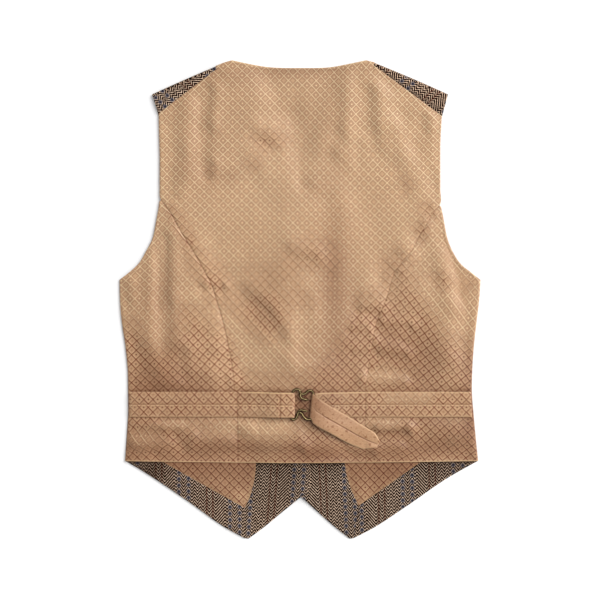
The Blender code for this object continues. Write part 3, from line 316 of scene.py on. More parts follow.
# broad painted shade (+) and painted light (-) on the satin: x, y, rx, ry, darker (+) or paler (-)
SATIN_SHADE_PAINT = (
    (300, 450, 190, 13, 0.38), (180, 404, 70, 14, 0.22), (215, 446, 90, 14, 0.20),
    (430, 370, 44, 40, 0.38), (150, 372, 34, 30, 0.38), (420, 440, 60, 16, 0.26),
    (400, 118, 26, 34, -0.18), (170, 300, 22, 60, 0.22), (245, 398, 14, 8, 0.15),
    (300, 480, 200, 18, 0.42), (452, 310, 16, 50, -0.10), (334, 300, 15, 70, 0.24),
    (264, 424, 30, 12, -0.40), (386, 375, 22, 7, -0.15), (392, 345, 20, 12, 0.18),
    (400, 412, 60, 14, -0.05), (140, 290, 16, 14, 0.15), (150, 308, 22, 40, 0.16),
    (180, 386, 44, 14, 0.22), (310, 410, 22, 20, 0.24), (471, 392, 8, 52, 0.45),
    (440, 422, 16, 22, 0.20), (220, 125, 34, 58, 0.12), (303, 404, 7, 9, 0.50),
    (285, 110, 80, 44, 0.17), (332, 285, 16, 110, 0.22), (219, 352, 14, 36, -0.34), (206, 285, 12, 40, -0.18),
    (258, 385, 14, 30, -0.20), (390, 415, 12, 34, -0.14), (410, 225, 9, 80, -0.12), (470, 432, 9, 24, 0.30),
    (312, 362, 24, 34, 0.22), (342, 290, 20, 120, 0.18), (192, 130, 12, 50, 0.16), (170, 270, 10, 40, 0.12),
    (150, 444, 24, 22, 0.14), (392, 432, 16, 4, 0.35), (300, 397, 7, 5, 0.30), (300, 414, 8, 5, 0.30),
    (290, 72, 74, 9, 0.30), (370, 408, 10, 26, -0.28), (230, 360, 12, 36, -0.26), (208, 300, 12, 40, -0.16),
    (262, 150, 16, 26, -0.12), (440, 378, 14, 22, -0.14), (415, 438, 22, 12, -0.16), (322, 455, 24, 9, 0.25),
    (352, 300, 10, 40, 0.12), (455, 310, 10, 24, 0.18), (258, 398, 16, 14, -0.15), (312, 419, 8, 9, 0.45),
    (250, 455, 34, 9, -0.16), (350, 448, 12, 10, -0.14), (280, 415, 18, 14, -0.12),
    (170, 405, 40, 40, 0.14), (180, 108, 20, 16, 0.10), (210, 176, 26, 18, 0.15), (260, 146, 16, 22, -0.12),
    (410, 180, 12, 50, -0.10), (330, 120, 18, 40, 0.08), (210, 300, 10, 50, -0.12), (232, 372, 9, 36, -0.14),
    (390, 330, 12, 22, 0.28), (314, 398, 10, 8, 0.20), (370, 394, 10, 12, -0.15), (140, 325, 14, 16, 0.12),
    (412, 348, 12, 14, 0.12), (450, 378, 12, 14, -0.12), (470, 402, 7, 14, 0.20), (130, 445, 10, 20, 0.25),
    (240, 430, 14, 7, 0.14), (375, 440, 26, 8, -0.12), (260, 458, 20, 6, -0.12), (440, 458, 20, 6, -0.14),
    (300, 70, 72, 3.5, 0.12), (272, 440, 12, 30, -0.22), (180, 446, 20, 8, -0.28), (340, 446, 20, 8, -0.20),
    (290, 168, 12, 14, 0.20), (312, 186, 14, 14, 0.20), (186, 168, 10, 12, 0.20), (410, 304, 12, 16, -0.25),
    (440, 460, 22, 5, -0.18), (228, 352, 12, 22, -0.18), (245, 77, 26, 10, 0.19), (293, 86, 8, 12, -0.20),
    (130, 368, 8, 24, -0.22), (412, 86, 12, 10, -0.15), (440, 374, 12, 16, -0.15), (430, 432, 14, 8, -0.25), (392, 86, 10, 10, 0.22), (231, 176, 9, 9, 0.28), (272, 340, 9, 12, -0.16),
    (470, 446, 8, 12, -0.20), (470, 384, 8, 8, -0.16), (450, 378, 12, 14, -0.16), (212, 80, 10, 10, 0.16),
)


def at(px, py):
    return (px - 300.0) * 1.277, (299.6 - py) * 1.277


def seen(x, y):
    return 300.0 + x / 1.277, 299.6 - y / 1.277


# ================================================================ helpers
def ease(t):
    t = np.clip(t, 0.0, 1.0)
    return t * t * (3.0 - 2.0 * t)


def along(points, count):
    pts = np.array(points, float)
    seg = np.sqrt(((pts[1:] - pts[:-1]) ** 2).sum(1))
    s = np.concatenate(([0.0], np.cumsum(seg)))
    t = np.linspace(0.0, s[-1], count + 1)
    return np.stack([np.interp(t, s, pts[:, k]) for k in range(pts.shape[1])], 1)


def smooth_run(points, count):
    """count + 1 points along a curve that passes through all the points."""
    pts = np.array(points, float)
    if len(pts) < 3:
        return along(points, count)
    seg = np.maximum(np.sqrt(((pts[1:] - pts[:-1]) ** 2).sum(1)), 1e-9)
    s = np.concatenate(([0.0], np.cumsum(seg)))
    slope = (pts[1:] - pts[:-1]) / seg[:, None]
    tan = np.empty_like(pts)
    tan[0], tan[-1] = slope[0], slope[-1]
    w = seg[1:] / (seg[1:] + seg[:-1])
    tan[1:-1] = slope[:-1] * w[:, None] + slope[1:] * (1 - w)[:, None]
    t = np.linspace(0.0, s[-1], count + 1)
    k = np.clip(np.searchsorted(s, t, side="right") - 1, 0, len(pts) - 2)
    h = seg[k]
    f = ((t - s[k]) / h)[:, None]
    h = h[:, None]
    return ((2 * f ** 3 - 3 * f ** 2 + 1) * pts[k] + (f ** 3 - 2 * f ** 2 + f) * h * tan[k]
            + (-2 * f ** 3 + 3 * f ** 2) * pts[k + 1] + (f ** 3 - f ** 2) * h * tan[k + 1])


def dense_rows(rows, step, sharp=()):
    """Rows put in between the given rows, on smooth curves through them.

    A row in sharp keeps its corner.  Gives the rows and where each given row
    has come to lie.
    """
    rows = np.array(rows, float)
    n = len(rows)
    seg = np.sqrt(((rows[1:] - rows[:-1]) ** 2).sum(-1)).mean(1)
    seg = np.maximum(seg, 1e-6)
    slope = (rows[1:] - rows[:-1]) / seg[:, None, None]
    tan = np.empty_like(rows)
    tan[0], tan[-1] = slope[0], slope[-1]
    w = (seg[1:] / (seg[1:] + seg[:-1]))[:, None, None]
    tan[1:-1] = slope[:-1] * w + slope[1:] * (1 - w)
    out, places = [], [0]
    for k in range(n - 1):
        t0 = slope[k] if k in sharp else tan[k]
        t1 = slope[k] if k + 1 in sharp else tan[k + 1]
        m = max(1, int(round(seg[k] / step)))
        h = seg[k]
        for j in range(m):
            f = j / m
            out.append((2 * f ** 3 - 3 * f ** 2 + 1) * rows[k] + (f ** 3 - 2 * f ** 2 + f) * h * t0
                       + (-2 * f ** 3 + 3 * f ** 2) * rows[k + 1] + (f ** 3 - f ** 2) * h * t1)
        places.append(len(out))
    out.append(rows[-1])
    return np.array(out), places


def distance_to(points, x, y):
    """Distance from (x, y) to a line of points."""
    pts = np.array(points, float)
    best = np.full(np.shape(x), 1e9)
    for (ax, ay), (bx, by) in zip(pts[:-1], pts[1:]):
        dx, dy = bx - ax, by - ay
        size = max(dx * dx + dy * dy, 1e-9)
        t = np.clip(((x - ax) * dx + (y - ay) * dy) / size, 0.0, 1.0)
        best = np.minimum(best, np.hypot(x - ax - t * dx, y - ay - t * dy))
    return best


def cloud(x, y, size, seed):
    """Soft unevenness from -1 to 1, the same on each run."""
    tab = np.random.default_rng(seed).uniform(-1, 1, (96, 96))
    u, v = np.asarray(x) / size + 40.3, np.asarray(y) / size + 40.7
    i, j = np.floor(u).astype(int), np.floor(v).astype(int)
    f, g = ease(u - i), ease(v - j)
    i, j = i % 95, j % 95
    return ((tab[i, j] * (1 - f) + tab[i + 1, j] * f) * (1 - g)
            + (tab[i, j + 1] * (1 - f) + tab[i + 1, j + 1] * f) * g)


def blobs(table, x, y):
    px, py = seen(x, y)
    total = np.zeros(np.shape(x))
    for cx, cy, rx, ry, weight in table:
        total = total + weight * np.exp(-(((px - cx) / rx) ** 2 + ((py - cy) / ry) ** 2))
    return total


def rimmed(g, d=0.7):
    """The grid with one more line of points close inside each of its edges."""
    for axis in (0, 1):
        g = np.swapaxes(g, 0, axis)

        def near(a, b):
            n = np.sqrt(((b - a) ** 2).sum(-1, keepdims=True))
            return a + (b - a) * np.minimum(d / np.maximum(n, 1e-6), 0.4)

        g = np.concatenate((g[:1], near(g[:1], g[1:2]), g[1:-1], near(g[-1:], g[-2:-1]), g[-1:]))
        g = np.swapaxes(g, 0, axis)
    return g


def even(p, q, cols):
    a, b = np.array(p, float), np.array(q, float)
    return a + (b - a) * np.linspace(0, 1, cols + 1)[:, None]


def trimmed(lines, start, end):
    """Each line of points, cut shorter by start and by end."""
    out = np.empty_like(lines)
    start = np.broadcast_to(start, len(lines))
    end = np.broadcast_to(end, len(lines))
    for k, pts in enumerate(lines):
        seg = np.sqrt(((pts[1:] - pts[:-1]) ** 2).sum(1))
        s = np.concatenate(([0.0], np.cumsum(seg)))
        a, b = start[k], s[-1] - end[k]
        t = a + (b - a) * s / max(s[-1], 1e-9)
        for c in range(pts.shape[1]):
            out[k, :, c] = np.interp(t, s, pts[:, c])
    return out


# ================================================================ lying heights
LEFT_EDGE = tuple(r[1] for r in YOKE_ROWS) + tuple(r[1] for r in BACK_ROWS)
RIGHT_EDGE = tuple(r[2] for r in YOKE_ROWS) + tuple(r[4] for r in BACK_ROWS)
LEFT_SIDE = tuple(r[1] for r in BACK_ROWS if r[1][1] < 26.0)
RIGHT_SIDE = tuple(r[4] for r in BACK_ROWS if r[4][1] < 26.0)
TOP_EDGE = tuple(p for run in TOP_RUNS for p in run[1])
LEFT_SEAM = smooth_run([r[2] for r in BACK_ROWS], 90)
RIGHT_SEAM = smooth_run([r[3] for r in BACK_ROWS], 90)


def button_ridge(x, y):
    return ((1 - ease((np.abs(x) - RIDGE_FLAT) / RIDGE_FALL))
            * (1 - ease((y - 92.0) / 80.0)) * ease((y + 278.0) / 52.0))


def lap(x, y):
    return (ease((x + RIDGE_FLAT + 2.0 + RIDGE_FALL) / RIDGE_FALL)
            * (1 - ease((y - 116.0) / 80.0)) * ease((y + 298.0) / 44.0))


def lift_right(x, y):
    return BUTTON_LIFT * button_ridge(x, y)


def lift_left(x, y):
    return BUTTON_LIFT * button_ridge(x, y) + LAP_LIFT * lap(x, y)


def lift_back(x, y):
    return BUTTON_LIFT * button_ridge(x, y) + LAP_LIFT * lap(-np.abs(x), y)


def folds(x, y):
    total = np.zeros(np.shape(x))
    for x0, y0, x1, y1, half, height in FOLDS:
        dx, dy = x1 - x0, y1 - y0
        n = math.hypot(dx, dy)
        t = ((x - x0) * dx + (y - y0) * dy) / n
        d = ((x - x0) * dy - (y - y0) * dx) / n
        over = np.maximum(np.maximum(-t, t - n), 0.0)
        total = total + height * np.exp(-(d / half) ** 2 - (over / (1.4 * half)) ** 2)
    return total


def in_from_edge(x, y):
    edge = np.minimum(distance_to(LEFT_EDGE, x, y), distance_to(RIGHT_EDGE, x, y))
    return np.minimum(edge, distance_to(TOP_EDGE, x, y))


def loft_shape(x, y, high):
    free = ease(in_from_edge(x, y) / 24.0) * (0.35 + 0.65 * ease((y + 207.0) / 16.0))
    band = 1 - 0.7 * ease((28.0 - np.abs(y + 134.0)) / 12.0)
    centre = 1 - 0.55 * button_ridge(x, y)
    return high * free * band * centre


def sag(x, y):
    ys = [p[0] for p in NECK_OPENING][::-1]
    ws = [p[1] for p in NECK_OPENING][::-1]
    half = np.interp(y, ys, ws, left=-20.0)
    return NECK_SAG * ease((half - np.abs(x) - 8.0) / 34.0)


def roll(x, y):
    d = np.minimum(distance_to(LEFT_SIDE, x, y), distance_to(RIGHT_SIDE, x, y))
    t = np.clip((ROLL_W - d) / ROLL_W, 0.0, 1.0)
    return ROLL_H * (1 - np.sqrt(1 - t * t))


def cad_back_top(x, y):
    """Top of the CAD's back, which the buckle stands on."""
    high = np.clip(LOFT + folds(x, y), 0.1, LOFT_MAX)
    return (Z_BACK + lift_back(x, y) + loft_shape(x, y, high) - sag(x, y) - roll(x, y) + SATIN_T)


RELIEF = 1.75           # how deep a crease is for the turn it makes


def creases(x, y):
    """Height of the listed creases: a flank that falls toward the light
    is bright and one that rises toward it is dark."""
    total = np.zeros(np.shape(x))
    for px0, py0, px1, py1, half, turn in CREASES:
        x0, y0 = at(px0, py0)
        x1, y1 = at(px1, py1)
        r = half * 1.277
        dx, dy = x1 - x0, y1 - y0
        n = max(math.hypot(dx, dy), 1e-6)
        t = np.clip(((x - x0) * dx + (y - y0) * dy) / (n * n), 0.0, 1.0)
        ex, ey = x - x0 - t * dx, y - y0 - t * dy
        across = abs(dy * KEY_X - dx * KEY_Y) / n
        share = 1.0 / max(across ** 2, 0.4) if n > 1.2 * r else 1.0
        q = (ex * KEY_X + ey * KEY_Y) / r
        d2 = (ex * ex + ey * ey) / (r * r)
        total = total - turn * share * RELIEF * r * q * np.exp(-0.5 * d2)
    return total


def seam_dip(x, y):
    """The princess seams pull the satin in, unevenly."""
    total = np.zeros(np.shape(x))
    for seam, seed in ((LEFT_SEAM, 3), (RIGHT_SEAM, 4)):
        d = distance_to(seam, x, y)
        uneven = cloud(x * 0 + seed * 31.0, y, 9.0, seed)
        eased = 1 - 0.55 * ease((-10.0 - y) / 60.0)
        total = total + np.exp(-(d / 1.3) ** 2) * (0.46 + 0.18 * uneven) * eased
        total = total + np.exp(-(d / 7.0) ** 2) * (0.07 + 0.26 * uneven) * eased
    return total


def edge_round(x, y):
    """Armhole and neck edges turn down over the last few millimetres."""
    e = in_from_edge(x, y)
    t = np.clip((3.0 - e) / 3.0, 0.0, 1.0)
    high = ease((y - 20.0) / 12.0)
    stitched = 0.22 * np.exp(-((e - 4.2) / 0.8) ** 2)
    return high * (0.75 * (1 - np.sqrt(1 - 0.96 * t * t)) + stitched)


def hem_line(x, y):
    """The hem's folded edge: a thin raised roll, pulled in where it is sewn."""
    d = y + 207.0
    rope = 0.10 * np.sin(x * 2.0) + 0.16 * cloud(x, y * 0, 7.0, 21)
    return np.exp(-(d / 1.2) ** 2) * (0.30 + rope) - 0.16 * np.exp(-((d - 3.2) / 1.3) ** 2)


def near_straps(x, y):
    return ease((26.0 - np.abs(y + 134.0)) / 10.0)


def back_top(x, y):
    """Top of the back as it is seen."""
    small = 0.10 * cloud(x, y, 23.0, 11) + 0.05 * cloud(x, y, 9.0, 12) + 0.16 * cloud(x, y, 52.0, 13)
    press = 1 - 0.72 * near_straps(x, y)
    middle = ease((44.0 - np.abs(x - 6.0)) / 14.0) * near_straps(x, y)
    own = (creases(x, y) + small) * press
    own = own * (1 - middle) + np.minimum(own, 0.1) * middle
    fade = ease(in_from_edge(x, y) / 9.0)
    under_strap = np.where(own < 0, 1.0, 1.0)
    z = Z_BACK + lift_back(x, y) + loft_shape(x, y, LOFT + 0.35 * folds(x, y)) + own * fade * under_strap
    z = np.maximum(z, Z_BACK - 0.22 + lift_back(x, y))
    z = z - sag(x, y) - roll(x, y) + SATIN_T
    return z - seam_dip(x, y) * (1 - 0.6 * near_straps(x, y)) - edge_round(x, y) + hem_line(x, y)


def back_floor(x, y):
    """Lowest that the satin's underside may lie."""
    return Z_BACK - 0.26 + lift_back(x, y) - sag(x, y) - roll(x, y)


# ================================================================ meshes
def put_mesh(name, verts, faces, looks, fields=None, flat=False):
    v = np.asarray(verts, float) * MM
    quads = np.array([f for f in faces if len(f) == 4])
    rest = [f for f in faces if len(f) != 4]
    vol = 0.0
    if len(quads):
        a, b, c, d = (v[quads[:, k]] for k in range(4))
        vol += (a * np.cross(b, c)).sum() + (a * np.cross(c, d)).sum()
    for f in rest:
        for k in range(1, len(f) - 1):
            vol += np.dot(v[f[0]], np.cross(v[f[k]], v[f[k + 1]]))
    if vol < 0:
        faces = [tuple(reversed(f)) for f in faces]
    mesh = bpy.data.meshes.new(name)
    mesh.from_pydata(v.tolist(), [], [tuple(int(i) for i in f) for f in faces])
    mesh.update()
    if not flat:
        mesh.shade_smooth()
    for key, values in (fields or {}).items():
        field = mesh.attributes.new(key, "FLOAT_VECTOR", "POINT")
        field.data.foreach_set("vector", np.asarray(values, np.float32).reshape(-1))
    ob = bpy.data.objects.new(name, mesh)
    bpy.context.scene.collection.objects.link(ob)
    for look in looks:
        mesh.materials.append(look)
    return ob


def shell(name, under, over, look, weave, state, bulge=0.3):
    """Closed sheet between two grids of points, with a rounded edge."""
    rows, cols = under.shape[:2]
    n = rows * cols
    ring = ([(0, j) for j in range(cols)] + [(i, cols - 1) for i in range(1, rows)]
            + [(rows - 1, j) for j in range(cols - 2, -1, -1)]
            + [(i, 0) for i in range(rows - 2, 0, -1)])
    b = np.array([i * cols + j for i, j in ring])
    inner = np.array([min(max(i, 1), rows - 2) * cols + min(max(j, 1), cols - 2) for i, j in ring])
    lo, hi = under.reshape(-1, 3), over.reshape(-1, 3)
    mid = (lo[b] + hi[b]) / 2
    t = np.roll(mid, -1, 0) - np.roll(mid, 1, 0)
    out = np.cross(t, hi[b] - lo[b])
    out = out / np.maximum(np.linalg.norm(out, axis=1, keepdims=True), 1e-9)
    if np.median(((mid - (lo[inner] + hi[inner]) / 2) * out).sum(1)) < 0:
        out = -out
    mid = mid + out * bulge
    verts = np.concatenate((lo, hi, mid))
    ii, jj = np.meshgrid(np.arange(rows - 1), np.arange(cols - 1), indexing="ij")
    q = (ii * cols + jj).ravel()
    low = np.stack((q, q + 1, q + cols + 1, q + cols), 1)
    top = np.stack((q + n, q + n + cols, q + n + cols + 1, q + n + 1), 1)
    k = np.arange(len(b))
    k1 = (k + 1) % len(b)
    m, m1 = 2 * n + k, 2 * n + k1
    side = np.concatenate((np.stack((b, m, m1, b[k1]), 1),
                           np.stack((m, b + n, b[k1] + n, m1), 1)))
    faces = np.concatenate((low, top, side)).tolist()

    def spread(lower, upper):
        lower, upper = lower.reshape(-1, 3), upper.reshape(-1, 3)
        return np.concatenate((lower, upper, upper[b]))

    w = weave if isinstance(weave, tuple) else (weave, weave)
    s = state if isinstance(state, tuple) else (state, state)
    return put_mesh(name, verts, faces, (look,),
                    {"weave": spread(*w), "state": spread(*s)})


def field(*parts):
    return np.stack(np.broadcast_arrays(*parts), -1).astype(float)


# ================================================================ materials
class Graph:
    """A node material, built step by step."""

    def __init__(self, name):
        self.m = bpy.data.materials.new(name)
        self.m.use_nodes = True
        self.t = self.m.node_tree
        self.p = self.t.nodes["Principled BSDF"]

    def put(self, sock, value):
        if isinstance(value, bpy.types.NodeSocket):
            self.t.links.new(value, sock)
        else:
            sock.default_value = value

    def shader(self, key, value):
        self.put(self.p.inputs[key], value)

    def math(self, op, a, b=None, c=None, clamp=False):
        n = self.t.nodes.new("ShaderNodeMath")
        n.operation = op
        n.use_clamp = clamp
        for k, v in enumerate((a, b, c)):
            if v is not None:
                self.put(n.inputs[k], v)
        return n.outputs[0]

    def step(self, v, lo, hi, a=0.0, b=1.0):
        n = self.t.nodes.new("ShaderNodeMapRange")
        n.interpolation_type = "SMOOTHSTEP"
        self.put(n.inputs["Value"], v)
        n.inputs["From Min"].default_value = lo
        n.inputs["From Max"].default_value = hi
        n.inputs["To Min"].default_value = a
        n.inputs["To Max"].default_value = b
        return n.outputs[0]

    def ramp(self, v, lo, hi, a=0.0, b=1.0):
        n = self.t.nodes.new("ShaderNodeMapRange")
        self.put(n.inputs["Value"], v)
        n.inputs["From Min"].default_value = lo
        n.inputs["From Max"].default_value = hi
        n.inputs["To Min"].default_value = a
        n.inputs["To Max"].default_value = b
        return n.outputs[0]

    def mix(self, fac, a, b, kind="MIX"):
        n = self.t.nodes.new("ShaderNodeMix")
        n.data_type = "RGBA"
        n.blend_type = kind
        self.put(n.inputs[0], fac)
        for k, v in ((6, a), (7, b)):
            self.put(n.inputs[k], v if isinstance(v, bpy.types.NodeSocket) else (*v, 1.0))
        return n.outputs[2]

    def noise(self, vector, scale, detail=2.0, rough=0.5):
        n = self.t.nodes.new("ShaderNodeTexNoise")
        self.put(n.inputs["Vector"], vector)
        n.inputs["Scale"].default_value = scale
        n.inputs["Detail"].default_value = detail
        n.inputs["Roughness"].default_value = rough
        return n.outputs["Fac"]

    def place(self):
        return self.t.nodes.new("ShaderNodeTexCoord").outputs["Object"]

    def scaled(self, vector, xyz):
        n = self.t.nodes.new("ShaderNodeVectorMath")
        n.operation = "MULTIPLY"
        self.put(n.inputs[0], vector)
        n.inputs[1].default_value = xyz
        return n.outputs[0]

    def attribute(self, name):
        n = self.t.nodes.new("ShaderNodeAttribute")
        n.attribute_type = "GEOMETRY"
        n.attribute_name = name
        return n.outputs["Vector"]

    def split(self, vector):
        n = self.t.nodes.new("ShaderNodeSeparateXYZ")
        self.put(n.inputs[0], vector)
        return n.outputs[0], n.outputs[1], n.outputs[2]

    def bump(self, height, distance, strength=1.0):
        n = self.t.nodes.new("ShaderNodeBump")
        n.inputs["Strength"].default_value = strength
        n.inputs["Distance"].default_value = distance
        self.put(n.inputs["Height"], height)
        self.t.links.new(n.outputs["Normal"], self.p.inputs["Normal"])


def srgb(r, g, b):
    return tuple(((c / 255 + 0.055) / 1.055) ** 2.4 if c > 10 else c / 255 / 12.92 for c in (r, g, b))


def times(color, k):
    return tuple(c * k for c in color)


# the satin's ground, and the darker ground that painted shade mixes it toward
SATIN_PALE = times(srgb(202, 162, 126), 0.83)
SATIN_DEEP = times(srgb(151, 110, 81), 0.83)


def satin_material():
    """Small diamond figure in satin: lines, a dot or a small diamond inside."""
    g = Graph("satin_jacquard")
    weave = g.attribute("weave")
    s, t, edge_light_shade = g.split(weave)
    sheen_flip, plain, shade_and_tone = g.split(g.attribute("state"))
    place = g.place()
    wob = g.noise(place, 160.0, 1.0)
    s = g.math("ADD", s, g.math("MULTIPLY", g.math("SUBTRACT", wob, 0.5), 0.05))
    a = g.math("ADD", s, t)
    b = g.math("SUBTRACT", s, t)
    ra = g.math("FLOOR", g.math("ADD", a, 0.5))
    rb = g.math("FLOOR", g.math("ADD", b, 0.5))
    sa = g.math("SUBTRACT", a, ra)
    sb = g.math("SUBTRACT", b, rb)
    fa = g.math("ABSOLUTE", sa)
    fb = g.math("ABSOLUTE", sb)
    odd = g.math("FLOORED_MODULO", g.math("ADD", ra, rb), 2.0)
    odd = g.step(odd, 0.4, 0.6)
    even_cell = g.math("SUBTRACT", 1.0, odd)
    far = g.math("MAXIMUM", fa, fb)
    radius = g.math("SQRT", g.math("ADD", g.math("MULTIPLY", fa, fa), g.math("MULTIPLY", fb, fb)))
    thread = g.noise(g.scaled(place, (900.0, 120.0, 900.0)), 1.0, 1.0)
    line_a = g.step(fa, 0.414, 0.448)
    strong_b = g.ramp(g.noise(place, 17.0, 1.0), 0.36, 0.62, 0.80, 1.0)
    strong_b = g.math("MULTIPLY", strong_b, g.step(sheen_flip, -0.28, -0.02, 0.45, 1.0))
    line_b = g.math("MULTIPLY", g.step(fb, 0.419, 0.452), strong_b)
    grain = g.ramp(thread, 0.2, 0.8, 0.80, 1.08)
    line_a = g.math("MULTIPLY", line_a, grain, clamp=True)
    line_b = g.math("MULTIPLY", line_b, grain, clamp=True)
    line = g.math("MAXIMUM", line_a, line_b)
    dot = g.math("MULTIPLY", g.step(radius, 0.135, 0.085), even_cell)
    flank = g.math("MULTIPLY", g.step(far, 0.270, 0.330), g.step(far, 0.432, 0.405))
    core = g.math("MULTIPLY", g.step(far, 0.235, 0.150), odd)
    nest = g.math("MULTIPLY", g.step(far, 0.130, 0.070), odd)
    # the two states of the figure, painted sheen (light) and painted shade (dark);
    # where it turns, the upper side of a line darkens first and the lower side of the next stays light
    patch = g.noise(place, 60.0, 2.0)
    small = g.noise(place, 230.0, 1.0)
    uneven = g.math("ADD", g.math("MULTIPLY", g.math("SUBTRACT", patch, 0.5), 0.50),
                    g.math("MULTIPLY", g.math("SUBTRACT", small, 0.5), 0.60))
    state = g.math("ADD", sheen_flip, uneven)
    side_a = g.step(sa, -0.12, 0.12, -0.30, 0.30)
    side_b = g.step(sb, 0.12, -0.12, -0.30, 0.30)
    turn_a = g.step(g.math("ADD", state, side_a), 0.28, 0.72)
    turn_b = g.step(g.math("ADD", state, side_b), 0.28, 0.72)
    turn = g.step(state, 0.15, 0.85)
    mid = g.math("MULTIPLY", g.step(state, 0.20, 0.45), g.step(state, 1.20, 0.80))
    lit_side = g.math("MAXIMUM", g.step(sa, -0.30, -0.38), g.step(sb, 0.30, 0.38))
    shaded_side = g.math("MAXIMUM", g.step(sa, 0.30, 0.38), g.step(sb, -0.30, -0.38))
    # painted shade: the ground darkens toward SATIN_DEEP by the state's third value, with some uneven tone
    ground = g.mix(shade_and_tone, SATIN_PALE, SATIN_DEEP)
    slub = g.noise(g.scaled(place, (60.0, 700.0, 60.0)), 1.0, 2.0)
    fine = g.noise(place, 620.0, 1.0)
    grit = g.noise(place, 880.0, 1.0)
    tone = g.math("ADD", g.math("MULTIPLY", slub, 0.4), g.math("MULTIPLY", patch, 0.3))
    tone = g.ramp(g.math("ADD", tone, g.math("MULTIPLY", fine, 0.3)), 0.30, 0.70, 0.90, 1.10)
    ground = g.mix(1.0, ground, g_color(g, tone), "MULTIPLY")

    def shade(of, rgb):
        return g.mix(1.0, of, rgb, "MULTIPLY")

    def share(v, k):
        return g.math("MULTIPLY", v, k)

    # light state, painted sheen: cells
    light = g.mix(even_cell, shade(ground, (1.03, 1.03, 1.02)), shade(ground, (0.95, 0.92, 0.91)))
    light = g.mix(g.math("MULTIPLY", flank, g.ramp(odd, 0.0, 1.0, 0.40, 0.70)), light,
                  shade(ground, (0.68, 0.52, 0.45)))
    light = g.mix(core, light, shade(ground, (1.13, 1.18, 1.15)))
    light = g.mix(dot, light, shade(ground, (1.62, 1.98, 2.00)))
    # dark state, painted shade: cells
    dark = g.mix(odd, shade(ground, (1.035, 1.05, 1.025)), shade(ground, (1.015, 1.01, 0.99)))
    dark = g.mix(share(core, 0.35), dark, shade(ground, (0.80, 0.70, 0.62)))
    dark = g.mix(share(flank, 0.5), dark, shade(ground, (1.18, 1.21, 1.17)))
    # painted lit side of each line in the dark state
    dark = g.mix(g.math("MULTIPLY", flank, share(lit_side, 0.75)), dark, shade(ground, (1.34, 1.43, 1.39)))
    dark = g.mix(share(nest, 0.45), dark, shade(ground, (0.50, 0.32, 0.22)))
    dark = g.mix(dot, dark, shade(ground, (0.24, 0.040, 0.003)))
    figured = g.mix(turn, light, dark)
    # the lines between the cells
    pale_line, deep_line = (1.48, 1.82, 1.90), (0.28, 0.045, 0.003)
    on_a = g.mix(turn_a, shade(ground, pale_line), shade(ground, deep_line))
    on_b = g.mix(turn_b, shade(ground, pale_line), shade(ground, deep_line))
    figured = g.mix(line_b, figured, on_b)
    figured = g.mix(line_a, figured, on_a)
    # where the figure turns, the upper side of each line gets a thin painted shaded thread beside the painted lit
    # thread of its lower side
    figured = g.mix(g.math("MULTIPLY", g.math("MULTIPLY", flank, shaded_side), share(mid, 0.55)), figured,
                    shade(ground, (0.52, 0.33, 0.24)))
    # the reverse side, plain but for the ends of the figure's threads
    cross = g.math("SQRT", g.math("ADD", g.math("POWER", g.math("SUBTRACT", 0.5, fa), 2.0),
                                  g.math("POWER", g.math("SUBTRACT", 0.5, fb), 2.0)))
    specks = g.math("MULTIPLY", g.math("MAXIMUM", g.step(cross, 0.27, 0.14), dot), g.step(small, 0.50, 0.60))
    threads = g.math("MULTIPLY", line, g.step(g.noise(place, 260.0, 1.0), 0.53, 0.62))
    under = shade(ground, (0.99, 0.935, 0.89))
    under = g.mix(share(threads, 0.55), under, shade(ground, (0.60, 0.44, 0.36)))
    under = g.mix(share(g.step(fine, 0.54, 0.68), 0.50), under, shade(ground, (0.70, 0.56, 0.47)))
    under = g.mix(share(g.step(fine, 0.46, 0.34), 0.40), under, shade(ground, (1.22, 1.28, 1.26)))
    under = g.mix(share(specks, 0.62), under, shade(ground, (0.40, 0.22, 0.13)))
    color = g.mix(g.step(plain, 0.3, 0.7), figured, under)
    color = g.mix(1.0, color, g_color(g, g.ramp(grit, 0.34, 0.66, 0.925, 1.075)), "MULTIPLY")
    # painted highlight on folded edges (third weave value above 0) and painted shadow along edges and darker seam
    # lines (below 0)
    color = g.mix(g.math("MAXIMUM", edge_light_shade, 0.0), color, shade(ground, (1.46, 1.66, 1.58)))
    color = g.mix(g.math("MAXIMUM", g.math("MULTIPLY", edge_light_shade, -1.0), 0.0), color, shade(ground, (0.34, 0.17, 0.095)))
    g.shader("Base Color", color)
    g.shader("Roughness", g.math("ADD", g.ramp(line, 0.0, 1.0, 0.41, 0.47), g.ramp(slub, 0.3, 0.7, -0.03, 0.04)))
    g.shader("Specular IOR Level", 0.28)
    g.shader("Anisotropic", 0.35)
    high = g.math("ADD", g.math("MULTIPLY", line, 0.35), g.math("MULTIPLY", thread, 0.30))
    g.bump(high, 0.00022, 0.50)
    return g.m


def g_color(g, value):
    """A grey of the given value."""
    n = g.t.nodes.new("ShaderNodeCombineColor")
    for k in range(3):
        g.t.links.new(value, n.inputs[k])
    return n.outputs[0]


# widths of the legs of the herringbone, in millimetres, over one repeat; the
# first runs down to the right, and each runs the other way from the one before
LEGS = tuple(1.277 * w for w in (1.9, 2.9, 4.6, 5.0, 3.3, 2.7, 2.9, 2.8, 2.9, 3.6, 2.6, 3.5, 2.8, 9.5))
REPEAT = sum(LEGS)
RISE = 4.09             # height of one rise of the twill
BLUE_1, BLUE_2 = sum(LEGS[:2]), sum(LEGS[:4])
RUST_1, RUST_2 = sum(LEGS[:10]), sum(LEGS[:12])


